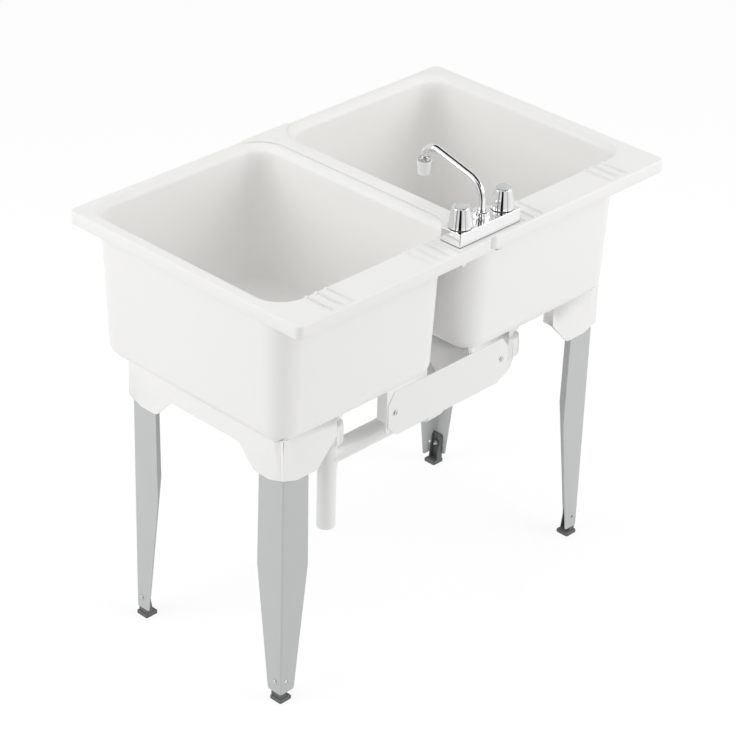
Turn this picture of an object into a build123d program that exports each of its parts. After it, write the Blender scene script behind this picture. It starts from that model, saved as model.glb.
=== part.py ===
from build123d import *
import os
from math import atan, cos, degrees, radians, sin, sqrt, tan

# Twin utility laundry sink on four folded steel legs, in millimetres.
# X runs along the sink, Y from the user (-Y) to the faucet ledge (+Y), Z up from the floor.
# Right is +X. The origin lies on the floor, at the middle of the sink.

# Bowls
tub_length = 508.0  # one bowl over its lip, along X
tub_depth = 625.0  # front lip to the back of the faucet ledge
rim_height = 910.0
bowl_drop = 313.0  # top of the rim to the underside of the floor
tub_wall = 5.0
draft = 2.4  # degrees, all four bowl walls
side_land = 29.0  # outside of the lip to the bowl wall, at both ends
front_land = 21.5
ledge = 73.5  # back of the lip to the bowl wall
bowl_corner_radius = 57.0
floor_radius = 30.0
mouth_radius = 17.0  # rounding of the mouth at its front and ends
ledge_edge_radius = 6.0  # crisper rounding along the ledge
mouth_sections = 5
lip_drop = 27.0
lip_wall = 4.0
lip_corner_radius = 8.0
lip_edge_radius = 3.0

# Drain ribs on the ledge, in two groups on each bowl
rib_group_offset = 126.0
rib_pitch = 24.5
ribs_per_group = 3
rib_width = 8.0
rib_height = 1.6
rib_length = 62.0
rib_margin = 1.0  # mouth to the start of a rib

# Skirt and aprons below the floor
apron_wall = 4.6
apron_corner_radius = 8.0
apron_end_inset = 59.0  # lip to the apron face, at both ends
apron_back_inset = 95.5  # lip to the apron face, at the back and the front
outer_apron_width = 139.0
inner_apron_width = 115.0
apron_drop = 88.0  # floor to the lowest edge of the aprons
apron_corner_drop = 76.0
apron_rise_width = 37.0  # corner to where the tip turns level
skirt_drop = 42.0
skirt_half_width = 96.0
skirt_slant_end = 138.0
apron_shoulder_drop = 34.0
apron_slant_width = 49.0
apron_bend_radius = 18.0
apron_root = 11.0  # how far aprons and ribs reach up into the floor
return_depth = 26.0
inner_return_drop = 65.0
cut_margin = 1.0  # how far a cut reaches past what it cuts
drill_length = 20.0  # drills through a single wall

# Legs: folded sheet, two equal tapering flanges
leg_sheet = 2.0
leg_clearance = 0.3
leg_bend_radius = 4.4
leg_top_width = 65.0
leg_knee_width = 69.0
leg_knee_drop = 297.0  # floor of the bowls to the widest place
leg_foot_width = 36.0
leg_foot_z = 20.0
leg_tip_radius = 6.0
socket_rib = 3.0
socket_rib_drop = 37.0
socket_rib_length = 52.0
seat_inset = 4.0  # leg seat shorter than the leg's top

# Levelling feet
pad_size = 31.0
pad_height = 8.0
pad_bevel = 2.0
pad_corner_radius = 3.5
pad_overhang = 1.0  # pad beyond the outer faces of the leg
pad_hole_radius = 2.6
upright_wall = 4.0
upright_width = 26.0
upright_top_z = 69.0
side_rib = 2.5
side_rib_top = 6.5  # depth of the two side ribs, from the outside of the upright
side_rib_bottom = 16.0
foot_travel_up = 6.0
foot_travel_down = 10.0
bolt_radius = 3.0
bolt_hole_radius = 3.3
bolt_z = 46.0
bolt_from_crease = 16.0
bolt_length = 17.0
bolt_head_radius = 5.2
bolt_head_height = 3.4
bolt_head_round = 1.7
nut_sides = 6
nut_width = 10.0
nut_height = 5.0
bolt_fit = 0.1

# Tie plates between the bowls
tie_sheet = 2.0
tie_half_length = 171.0
tie_drop = 99.0
tie_top_gap = 0.5  # below the floor
tie_top_cut = (17.0, 24.0)
tie_bottom_cut = (25.0, 24.0)
tie_screw_x = 152.0
tie_screw_drop = 47.0
tie_screw_radius = 2.5
tie_screw_length = 14.0
tie_screw_head_radius = 5.5
tie_screw_head_height = 2.6

# Strip over the seam
strip_height = 3.0
strip_margin = 2.0  # strip edge to bowl mouth
strip_end_margin = 1.5  # strip end to the outside of the lip
strip_front_half_width = 63.0
strip_back_half_width = 90.0
strip_edge_radius = 1.0

# Faucet
inlet_centres = 101.6  # between the two inlet shanks
handle_centres = 116.4
faucet_from_back = 34.5
gasket_height = 1.5
gasket_inset = 2.0
base_length = 168.0
base_depth = 50.0
base_height = 27.0
base_wall = 2.6
base_corner_radius = 3.0
base_edge_radius = 1.0
shank_radius = 10.9  # where the shank passes through the ledge and its nut
inlet_radius = 10.48  # free end for the supply nut
shank_length = 56.0  # below the housing
shank_bore = 7.0
deck_hole_radius = 14.0
boss_radius = 16.0
spout_boss_radius = 12.0
manifold_radius = 9.0
manifold_bore = 4.5
mounting_nut_radius = 20.0
mounting_nut_height = 12.0
housing_gap = 0.3

# Valves and handles
cartridge_radius = 11.0
cartridge_seat_depth = 18.0
bonnet_width = 24.0  # across flats
bonnet_height = 12.0
stem_radius = 4.6
stem_height = 33.5  # above the housing
stem_depth = 14.0
turning_gap = 0.3
knob_gap = 1.2  # handle above the housing
knob_base_radius = 23.4
knob_top_radius = 16.6
knob_height = 41.5
knob_foot = 4.0
knob_cavity_radius = 15.2
knob_cavity_depth = 17.0
knob_flutes = 8
flute_radius = 5.0
flute_depth = 1.9
knob_screw_radius = 1.9
knob_screw_head_radius = 4.0
knob_screw_head_height = 2.0
knob_screw_length = 12.0
cap_radius = 13.6
cap_height = 2.2
cap_recess = 5.5
cap_dome = 1.4
stem_fit = 0.2

# Spout
tube_radius = 7.5
tube_wall = 1.2
spout_reach = 150.0
spout_rise_height = 98.0  # rim to where the riser and the arm would meet
spout_rise = 15.0  # degrees
riser_bend_radius = 43.0
outlet_bend_radius = 27.0
tube_end_height = 98.0  # rim to the lower end of the tube
spout_seat = 14.0  # tube below the top of the housing
spout_nut_radius = 16.8
spout_nut_height = 15.5
spout_nut_flutes = 16
spout_flute_radius = 1.2
spout_flute_depth = 0.6
spout_nut_bevel = 1.2
ring_radius = 12.0
ring_height = 9.0
ring_overlap = 2.0  # ring below the end of the tube
outlet_cap_top_radius = 14.5
outlet_cap_bottom_radius = 11.3
outlet_cap_height = 28.0
outlet_cap_wall = 2.4

# Drains and waste pipes
drain_from_back = 174.5
drain_barrel_radius = 24.0
drain_barrel_wall = 3.5
drain_barrel_length = 42.0
drain_fit = 0.4
drain_rim_radius = 38.0
drain_rim_height = 2.5
drain_rim_bevel = 1.2
drain_bar = 3.0
gasket_ring_height = 3.5
gasket_ring_radius = 35.0
locknut_height = 10.0
locknut_radius = 34.0
locknut_lugs = 6
lug_width = 9.0
lug_reach = 4.0
pipe_radius = 19.05
tail_radius = 18.85
pipe_wall = 1.6
tail_flange_radius = 23.0
tail_flange_height = 3.0
tail_nut_radius = 30.0
tail_nut_sides = 8
tail_nut_height = 20.0
fitting_radius = 21.5
tee_run_radius = 20.6
tee_run_end_drop = 163.0  # floor of the bowls to where the run steps down to the outlet
outlet_drop = 298.0  # floor of the bowls to the open end of the outlet
pipe_fit = 0.25
hub_radius = 24.5
hub_length = 26.0
slip_nut_radius = 29.5
slip_nut_height = 43.0
slip_nut_lip = 5.0
slip_nut_drop = 104.0
slip_nut_ribs = 16
slip_washer_height = 6.0
nut_rib_width = 4.0
nut_rib_depth = 1.6
arm_drop = 137.0
arm_nut_x = -5.0  # right-hand end of the nut on the arm
elbow_bend_radius = 34.0
pipe_insert = 24.0

os.makedirs("parts", exist_ok=True)


def finish(builder, name):
    """Label one finished piece and write it."""
    builder.part.label = name
    export_step(builder.part, f"parts/{name}.step")


def facing_down(x, y, z):
    """A plane whose normal points down, for shapes drawn from their top."""
    return Plane(origin=(x, y, z), x_dir=(1, 0, 0), z_dir=(0, 0, -1))


# ---------------------------------------------------------------- bowls
tub_x = tub_length / 2
back_y = tub_depth / 2
front_y = -tub_depth / 2
floor_z = rim_height - bowl_drop
apron_tip_z = floor_z - apron_drop
apron_corner_z = floor_z - apron_corner_drop
apron_shoulder_z = floor_z - apron_shoulder_drop
skirt_z = floor_z - skirt_drop
socket_rib_z = floor_z - socket_rib_drop
tie_bottom_z = floor_z - tie_drop
tie_screw_z = floor_z - tie_screw_drop
bowl_width = tub_length - 2 * side_land
bowl_depth = tub_depth - front_land - ledge
bowl_y = (front_land - ledge) / 2
core_width = bowl_width - 2 * tub_wall
core_depth = bowl_depth - 2 * tub_wall
core_corner = bowl_corner_radius - tub_wall
mouth_back_y = bowl_y + core_depth / 2 + ledge_edge_radius
apron_half_x = tub_x - apron_end_inset
apron_half_y = back_y - apron_back_inset
outer_apron_end = apron_half_x - outer_apron_width
inner_apron_end = inner_apron_width - apron_half_x
apron_low_z = apron_tip_z - cut_margin
cut_z = apron_low_z - cut_margin
drain_y = back_y - drain_from_back
faucet_y = back_y - faucet_from_back
inlet_x = inlet_centres / 2
leg_x = tub_x + apron_half_x - apron_wall - leg_clearance
leg_y = apron_half_y - apron_wall - leg_clearance

# The hollow of a bowl: drafted walls, a filleted floor and a mouth that rolls out to the rim.
with BuildPart() as bowl_core:
    with BuildSketch(facing_down(tub_x, bowl_y, rim_height)):
        RectangleRounded(core_width, core_depth, core_corner)
    extrude(amount=bowl_drop - tub_wall, taper=draft)
    fillet(bowl_core.edges().group_by(Axis.Z)[0], radius=floor_radius - tub_wall)
    for section in range(mouth_sections):
        roll = radians(90 * section / (mouth_sections - 1))
        below = mouth_radius * (1 - sin(roll))
        spread = mouth_radius * (1 - cos(roll)) - below * tan(radians(draft))
        in_edge = max(ledge_edge_radius - below, 0)
        back_spread = ledge_edge_radius - sqrt(ledge_edge_radius**2 - in_edge**2)
        back_spread -= below * tan(radians(draft))
        section_y = bowl_y + (back_spread - spread) / 2
        with BuildSketch(Plane((tub_x, section_y, rim_height - below))):
            RectangleRounded(
                core_width + 2 * spread, core_depth + spread + back_spread, core_corner + spread
            )
    loft()

with BuildPart() as right_tub:
    # bowl wall and floor, still solid
    with BuildSketch(facing_down(tub_x, bowl_y, rim_height)):
        RectangleRounded(bowl_width, bowl_depth, bowl_corner_radius)
    extrude(amount=bowl_drop, taper=draft)
    fillet(right_tub.edges().group_by(Axis.Z)[0], radius=floor_radius)
    # rim and ledge deck with the turned-down lip
    with BuildSketch(Plane((tub_x, 0, rim_height - tub_wall))):
        RectangleRounded(tub_length, tub_depth, lip_corner_radius)
    extrude(amount=tub_wall)
    with BuildSketch(facing_down(tub_x, 0, rim_height - tub_wall)):
        RectangleRounded(tub_length, tub_depth, lip_corner_radius)
        RectangleRounded(
            tub_length - 2 * lip_wall,
            tub_depth - 2 * lip_wall,
            lip_corner_radius - lip_wall,
            mode=Mode.SUBTRACT,
        )
    extrude(amount=lip_drop - tub_wall)
    fillet(right_tub.faces().sort_by(Axis.Z)[-1].edges(), radius=lip_edge_radius)
    # skirt and aprons: a wall round the bowl's underside, open at the front and the back
    with BuildSketch(Plane((tub_x, 0, apron_low_z))):
        RectangleRounded(2 * apron_half_x, 2 * apron_half_y, apron_corner_radius)
        RectangleRounded(
            2 * (apron_half_x - apron_wall),
            2 * (apron_half_y - apron_wall),
            apron_corner_radius - apron_wall,
            mode=Mode.SUBTRACT,
        )
        with Locations(((outer_apron_end + inner_apron_end) / 2, 0)):
            Rectangle(outer_apron_end - inner_apron_end, tub_depth, mode=Mode.SUBTRACT)
    extrude(amount=floor_z + apron_root - apron_low_z)
    # lower edge of the end walls: level skirt, slants and apron tips
    for side in (1, -1):
        end_wall = Plane(
            origin=(tub_x + side * (apron_half_x - apron_wall), 0, 0),
            x_dir=(0, side, 0),
            z_dir=(side, 0, 0),
        )
        with BuildSketch(end_wall):
            with BuildLine():
                FilletPolyline(
                    (0, skirt_z),
                    (skirt_half_width, skirt_z),
                    (skirt_slant_end, apron_tip_z),
                    (apron_half_y - apron_rise_width, apron_tip_z),
                    (apron_half_y, apron_corner_z),
                    radius=apron_bend_radius,
                )
                Polyline(
                    (apron_half_y, apron_corner_z),
                    (back_y, apron_corner_z),
                    (back_y, cut_z),
                    (0, cut_z),
                )
                mirror(about=Plane.YZ)
            make_face()
        extrude(amount=apron_end_inset, mode=Mode.SUBTRACT)
    # lower edge of the front and back walls: the outer tongue and the squarer inner one
    for side in (1, -1):
        face_wall = Plane(
            origin=(tub_x, side * (apron_half_y - apron_wall), 0),
            x_dir=(-side, 0, 0),
            z_dir=(0, side, 0),
        )
        with BuildSketch(face_wall):
            with BuildLine():
                FilletPolyline(
                    (-side * apron_half_x, apron_corner_z),
                    (-side * (apron_half_x - apron_rise_width), apron_tip_z),
                    (-side * (outer_apron_end + apron_slant_width), apron_tip_z),
                    (-side * outer_apron_end, apron_shoulder_z),
                    radius=apron_bend_radius,
                )
                Polyline(
                    (-side * outer_apron_end, apron_shoulder_z),
                    (-side * inner_apron_end, apron_shoulder_z),
                    (-side * inner_apron_end, apron_tip_z),
                )
                FilletPolyline(
                    (-side * inner_apron_end, apron_tip_z),
                    (side * (apron_half_x - apron_rise_width), apron_tip_z),
                    (side * apron_half_x, apron_corner_z),
                    radius=apron_bend_radius,
                )
                Polyline(
                    (side * apron_half_x, apron_corner_z),
                    (side * tub_x, apron_corner_z),
                    (side * tub_x, cut_z),
                    (-side * tub_x, cut_z),
                    (-side * tub_x, apron_corner_z),
                    (-side * apron_half_x, apron_corner_z),
                )
            make_face()
        extrude(amount=apron_back_inset, mode=Mode.SUBTRACT)
    # returns that stiffen the free edges of the aprons
    for edge_x, low_z in (
        (outer_apron_end + apron_wall / 2, apron_shoulder_z),
        (inner_apron_end - apron_wall / 2, floor_z - inner_return_drop),
    ):
        with BuildSketch(Plane((tub_x + edge_x, 0, low_z))):
            with Locations((0, apron_half_y - return_depth / 2), (0, return_depth / 2 - apron_half_y)):
                Rectangle(apron_wall, return_depth)
        extrude(amount=floor_z + apron_root - low_z)
    # leg sockets: an inner rib behind each flange of the leg, and a flat seat on its top
    slot = leg_sheet + 2 * leg_clearance
    rib_x = apron_half_x - apron_wall - slot - socket_rib / 2
    rib_y = apron_half_y - apron_wall - slot - socket_rib / 2
    with BuildSketch(Plane((tub_x, 0, socket_rib_z))) as socket_ribs:
        with Locations(
            (rib_x, rib_y - socket_rib_length / 2), (rib_x, socket_rib_length / 2 - rib_y)
        ):
            Rectangle(socket_rib, socket_rib_length + socket_rib)
        with Locations(
            (rib_x - socket_rib_length / 2, rib_y), (rib_x - socket_rib_length / 2, -rib_y)
        ):
            Rectangle(socket_rib_length + socket_rib, socket_rib)
        for end_y in (apron_half_y, -apron_half_y):
            outer_corner = socket_ribs.vertices().sort_by_distance((apron_half_x, end_y))[0]
            fillet(outer_corner, radius=leg_bend_radius - leg_sheet)
    extrude(amount=floor_z + apron_root - socket_rib_z)
    with BuildSketch(Plane((tub_x, 0, floor_z))):
        with Locations(
            (apron_half_x - leg_top_width / 2, rib_y + slot / 2),
            (apron_half_x - leg_top_width / 2, -rib_y - slot / 2),
        ):
            Rectangle(leg_top_width - seat_inset, slot + socket_rib)
        with Locations(
            (rib_x + slot / 2, apron_half_y - leg_top_width / 2),
            (rib_x + slot / 2, leg_top_width / 2 - apron_half_y),
        ):
            Rectangle(slot + socket_rib, leg_top_width - seat_inset)
    extrude(amount=apron_root)
    # hollow, drain hole, faucet hole and tie screw holes
    add(bowl_core.part, mode=Mode.SUBTRACT)
    with Locations((tub_x, drain_y, floor_z)):
        Cylinder(drain_barrel_radius + drain_fit, drill_length, mode=Mode.SUBTRACT)
    with Locations((inlet_x, faucet_y, rim_height)):
        Cylinder(deck_hole_radius, drill_length, mode=Mode.SUBTRACT)
    with Locations((tie_screw_x, 0, tie_screw_z)):
        Cylinder(
            tie_screw_radius + leg_clearance, tub_depth, rotation=(90, 0, 0), mode=Mode.SUBTRACT
        )
    # drain ribs on the ledge
    rib_start_y = mouth_back_y + rib_margin
    with BuildSketch(Plane((tub_x, rib_start_y + rib_length / 2, rim_height))):
        with GridLocations(2 * rib_group_offset, 0, 2, 1):
            with GridLocations(rib_pitch, 0, ribs_per_group, 1):
                SlotOverall(rib_length, rib_width, rotation=90)
    extrude(amount=rib_height)
finish(right_tub, "right_tub")

with BuildPart() as left_tub:
    mirror(right_tub.part, about=Plane.YZ)
finish(left_tub, "left_tub")

# Strip over the seam: its sides follow the mouths of both bowls, its back carries the faucet.
mouth_spread = mouth_radius + strip_margin
mouth_front_y = bowl_y - core_depth / 2 - mouth_radius
mouth_middle_y = (mouth_front_y + mouth_back_y) / 2
with BuildPart() as joint_strip:
    with BuildSketch(Plane.XY.offset(rim_height)):
        with Locations((0, front_y + strip_end_margin)):
            Rectangle(
                2 * strip_front_half_width, tub_depth / 2, align=(Align.CENTER, Align.MIN)
            )
        with Locations((0, back_y - strip_end_margin)):
            Rectangle(2 * strip_back_half_width, tub_depth / 2, align=(Align.CENTER, Align.MAX))
        with Locations((0, mouth_middle_y)):
            Rectangle(2 * strip_front_half_width, tub_depth / 2)
        with Locations((tub_x, mouth_middle_y), (-tub_x, mouth_middle_y)):
            RectangleRounded(
                core_width + 2 * mouth_spread,
                mouth_back_y - mouth_front_y + 2 * strip_margin,
                core_corner + mouth_spread,
                mode=Mode.SUBTRACT,
            )
        with GridLocations(inlet_centres, 0, 2, 1):
            with Locations((0, faucet_y)):
                Circle(deck_hole_radius, mode=Mode.SUBTRACT)
    extrude(amount=strip_height)
    top_face = joint_strip.faces().sort_by(Axis.Z)[-1]
    fillet(top_face.outer_wire().edges(), radius=strip_edge_radius)
finish(joint_strip, "joint_strip")

# ---------------------------------------------------------------- tie plates
for place, side in (("rear", 1), ("front", -1)):
    plate_plane = Plane(
        origin=(0, side * apron_half_y, 0), x_dir=(-side, 0, 0), z_dir=(0, side, 0)
    )
    with BuildPart() as tie_plate:
        with BuildSketch(plate_plane):
            with BuildLine():
                Polyline(
                    (0, floor_z - tie_top_gap),
                    (tie_half_length - tie_top_cut[0], floor_z - tie_top_gap),
                    (tie_half_length, floor_z - tie_top_gap - tie_top_cut[1]),
                    (tie_half_length, tie_bottom_z + tie_bottom_cut[1]),
                    (tie_half_length - tie_bottom_cut[0], tie_bottom_z),
                    (0, tie_bottom_z),
                )
                mirror(about=Plane.YZ)
            make_face()
            with Locations((tie_screw_x, tie_screw_z), (-tie_screw_x, tie_screw_z)):
                Circle(tie_screw_radius + leg_clearance, mode=Mode.SUBTRACT)
        extrude(amount=tie_sheet)
    finish(tie_plate, f"tie_plate_{place}")

with BuildPart() as tie_screws:
    for side in (1, -1):
        for screw_x in (tie_screw_x, -tie_screw_x):
            seat = Plane(
                origin=(screw_x, side * (apron_half_y + tie_sheet), tie_screw_z),
                z_dir=(0, side, 0),
            )
            with BuildSketch(seat):
                Circle(tie_screw_head_radius)
            extrude(amount=tie_screw_head_height)
            with BuildSketch(seat):
                Circle(tie_screw_radius)
            extrude(amount=-tie_screw_length)
finish(tie_screws, "tie_screws")

# ---------------------------------------------------------------- legs and feet
corners = {
    "rear_right": (1, 1),
    "rear_left": (-1, 1),
    "front_right": (1, -1),
    "front_left": (-1, -1),
}


def at_corner(part, side_x, side_y):
    """The rear right piece carried over to another corner of the stand."""
    if side_x < 0:
        part = part.mirror(Plane.YZ)
    if side_y < 0:
        part = part.mirror(Plane.XZ)
    return part


# One leg: an L of folded sheet whose two flanges widen to the knee and taper to the foot.
bolt_y = leg_y - bolt_from_crease
with BuildPart() as leg:
    with BuildSketch(Plane((leg_x, leg_y, leg_foot_z))) as fold:
        with BuildLine():
            Polyline(
                (0, 0),
                (-leg_knee_width, 0),
                (-leg_knee_width, -leg_sheet),
                (-leg_sheet, -leg_sheet),
                (-leg_sheet, -leg_knee_width),
                (0, -leg_knee_width),
                close=True,
            )
        make_face()
        fillet(fold.vertices().sort_by_distance((0, 0))[0], radius=leg_bend_radius)
        inner_bend = fold.vertices().sort_by_distance((-leg_sheet, -leg_sheet))[0]
        fillet(inner_bend, radius=leg_bend_radius - leg_sheet)
    extrude(amount=floor_z - leg_foot_z)
    for flange, reach in (
        (Plane((leg_x, leg_y, 0), x_dir=(0, -1, 0), z_dir=(-1, 0, 0)), leg_knee_width),
        (Plane((leg_x, leg_y, 0), x_dir=(-1, 0, 0), z_dir=(0, 1, 0)), -leg_knee_width),
    ):
        with BuildSketch(flange) as outline:
            with BuildLine():
                Polyline(
                    (0, leg_foot_z),
                    (leg_foot_width, leg_foot_z),
                    (leg_knee_width, floor_z - leg_knee_drop),
                    (leg_top_width, floor_z),
                    (0, floor_z),
                    close=True,
                )
            make_face()
            tip = outline.vertices().sort_by_distance((leg_foot_width, leg_foot_z))[0]
            fillet(tip, radius=leg_tip_radius)
        extrude(amount=reach, mode=Mode.INTERSECT)
    with Locations((leg_x, bolt_y, bolt_z)):
        Cylinder(bolt_hole_radius, drill_length, rotation=(0, 90, 0), mode=Mode.SUBTRACT)
    with Locations((leg_x - bolt_from_crease, leg_y, bolt_z)):
        Cylinder(bolt_hole_radius, drill_length, rotation=(90, 0, 0), mode=Mode.SUBTRACT)

# One levelling foot: a bevelled pad under an upright with two side ribs, which taper upwards.
# The slot in the upright slides on the bolt.
upright_x = leg_x - leg_sheet - leg_clearance
upright_y = leg_y - leg_sheet - leg_clearance
slot_length = foot_travel_up + foot_travel_down + 2 * bolt_hole_radius
slot_z = bolt_z + (foot_travel_down - foot_travel_up) / 2
with BuildPart() as foot:
    pad_corner = (leg_x + pad_overhang - pad_size / 2, leg_y + pad_overhang - pad_size / 2, 0)
    with BuildSketch(Plane(pad_corner)):
        RectangleRounded(pad_size, pad_size, pad_corner_radius)
    extrude(amount=pad_height)
    chamfer(foot.faces().sort_by(Axis.Z)[-1].edges(), length=pad_bevel)
    with BuildSketch(Plane((upright_x, upright_y, 0), x_dir=(0, 1, 0), z_dir=(1, 0, 0))) as plate:
        with Locations((0, upright_top_z)):
            Rectangle(upright_width, upright_top_z - pad_height, align=(Align.MAX, Align.MAX))
        free_corner = plate.vertices().sort_by_distance((-upright_width, upright_top_z))[0]
        fillet(free_corner, radius=upright_wall)
        with Locations((bolt_y - upright_y, slot_z)):
            SlotOverall(slot_length, 2 * bolt_hole_radius, rotation=90, mode=Mode.SUBTRACT)
    extrude(amount=-upright_wall)
    for rib_place in (upright_y, upright_y - upright_width + side_rib):
        rib_plane = Plane((upright_x, rib_place, 0), x_dir=(1, 0, 0), z_dir=(0, -1, 0))
        with BuildSketch(rib_plane):
            with BuildLine():
                Polyline(
                    (0, pad_height),
                    (0, upright_top_z - upright_wall),
                    (-side_rib_top, upright_top_z - upright_wall),
                    (-side_rib_bottom, pad_height),
                    close=True,
                )
            make_face()
        extrude(amount=side_rib)
    fold_edge = foot.edges().filter_by(Axis.Z).sort_by_distance((upright_x, upright_y, bolt_z))[0]
    fillet(fold_edge, radius=leg_bend_radius - leg_sheet)
    with Locations(pad_corner):
        Cylinder(pad_hole_radius, drill_length, mode=Mode.SUBTRACT)

# Bolt and nut that clamp the foot in the leg.
with BuildPart() as foot_bolt:
    with BuildSketch(Plane((leg_x, bolt_y, bolt_z), z_dir=(1, 0, 0))):
        Circle(bolt_head_radius)
    extrude(amount=bolt_head_height)
    fillet(foot_bolt.edges().group_by(Axis.X)[-1], radius=bolt_head_round)
    with BuildSketch(Plane((leg_x, bolt_y, bolt_z), z_dir=(-1, 0, 0))):
        Circle(bolt_radius)
    extrude(amount=bolt_length)

nut_x = upright_x - upright_wall - leg_clearance
with BuildPart() as foot_nut:
    with BuildSketch(Plane((nut_x, bolt_y, bolt_z), z_dir=(-1, 0, 0))):
        RegularPolygon(nut_width / 2, nut_sides, major_radius=False)
        Circle(bolt_radius + bolt_fit, mode=Mode.SUBTRACT)
    extrude(amount=nut_height)

for corner, (side_x, side_y) in corners.items():
    with BuildPart() as corner_leg:
        add(at_corner(leg.part, side_x, side_y))
    finish(corner_leg, f"leg_{corner}")
    with BuildPart() as corner_foot:
        add(at_corner(foot.part, side_x, side_y))
    finish(corner_foot, f"foot_{corner}")

with BuildPart() as foot_bolts:
    for side_x, side_y in corners.values():
        add(at_corner(foot_bolt.part, side_x, side_y))
finish(foot_bolts, "foot_bolts")

with BuildPart() as foot_nuts:
    for side_x, side_y in corners.values():
        add(at_corner(foot_nut.part, side_x, side_y))
finish(foot_nuts, "foot_nuts")

# ---------------------------------------------------------------- faucet body
deck_z = rim_height + strip_height
base_z = deck_z + gasket_height
base_top = base_z + base_height
manifold_z = base_z + manifold_radius + base_wall
nut_bottom_z = rim_height - tub_wall - mounting_nut_height
inlet_end_z = base_z - shank_length

with BuildPart() as faucet_gasket:
    with BuildSketch(Plane((0, faucet_y, deck_z))):
        Rectangle(base_length - 2 * gasket_inset, base_depth - 2 * gasket_inset)
        with GridLocations(inlet_centres, 0, 2, 1):
            Circle(shank_radius + housing_gap, mode=Mode.SUBTRACT)
    extrude(amount=gasket_height)
finish(faucet_gasket, "faucet_gasket")

with BuildPart() as faucet_base:
    with BuildSketch(Plane((0, faucet_y, base_z))):
        RectangleRounded(base_length, base_depth, base_corner_radius)
    extrude(amount=base_height)
    fillet(faucet_base.faces().sort_by(Axis.Z)[-1].edges(), radius=base_edge_radius)
    with BuildSketch(Plane((0, faucet_y, base_z))):
        Rectangle(base_length - 2 * base_wall, base_depth - 2 * base_wall)
    extrude(amount=base_height - base_wall, mode=Mode.SUBTRACT)
    with BuildSketch(Plane((0, faucet_y, base_z))):
        with GridLocations(handle_centres, 0, 2, 1):
            Circle(boss_radius + housing_gap)
        Circle(spout_boss_radius + housing_gap)
    extrude(amount=base_height, mode=Mode.SUBTRACT)
finish(faucet_base, "faucet_base")

# Waterway: valve bosses joined by a cross tube, the spout boss, and two threaded inlet shanks.
with BuildPart() as waterway:
    with BuildSketch(Plane((0, faucet_y, base_z))):
        with GridLocations(handle_centres, 0, 2, 1):
            Circle(boss_radius)
        Circle(spout_boss_radius)
    extrude(amount=base_height)
    with Locations((0, faucet_y, manifold_z)):
        Cylinder(manifold_radius, handle_centres, rotation=(0, 90, 0))
    with BuildSketch(Plane((0, faucet_y, nut_bottom_z))):
        with GridLocations(inlet_centres, 0, 2, 1):
            Circle(shank_radius)
    extrude(amount=manifold_z - nut_bottom_z)
    with BuildSketch(Plane((0, faucet_y, inlet_end_z))):
        with GridLocations(inlet_centres, 0, 2, 1):
            Circle(inlet_radius)
    extrude(amount=nut_bottom_z - inlet_end_z)
    with BuildSketch(Plane((0, faucet_y, inlet_end_z))):
        with GridLocations(inlet_centres, 0, 2, 1):
            Circle(shank_bore)
    extrude(amount=manifold_z - inlet_end_z, mode=Mode.SUBTRACT)
    with BuildSketch(Plane((0, faucet_y, base_top))):
        with GridLocations(handle_centres, 0, 2, 1):
            Circle(cartridge_radius + housing_gap)
    extrude(amount=-cartridge_seat_depth, mode=Mode.SUBTRACT)
    with Locations((0, faucet_y, manifold_z)):
        Cylinder(manifold_bore, handle_centres, rotation=(0, 90, 0), mode=Mode.SUBTRACT)
    with BuildSketch(Plane((0, faucet_y, base_top))):
        Circle(tube_radius + turning_gap)
    extrude(amount=-spout_seat, mode=Mode.SUBTRACT)
finish(waterway, "waterway")

with BuildPart() as mounting_nuts:
    with BuildSketch(Plane((0, faucet_y, rim_height - tub_wall))):
        with GridLocations(inlet_centres, 0, 2, 1):
            RegularPolygon(mounting_nut_radius, nut_sides)
            Circle(shank_radius + housing_gap, mode=Mode.SUBTRACT)
    extrude(amount=-mounting_nut_height)
finish(mounting_nuts, "mounting_nuts")

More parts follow.
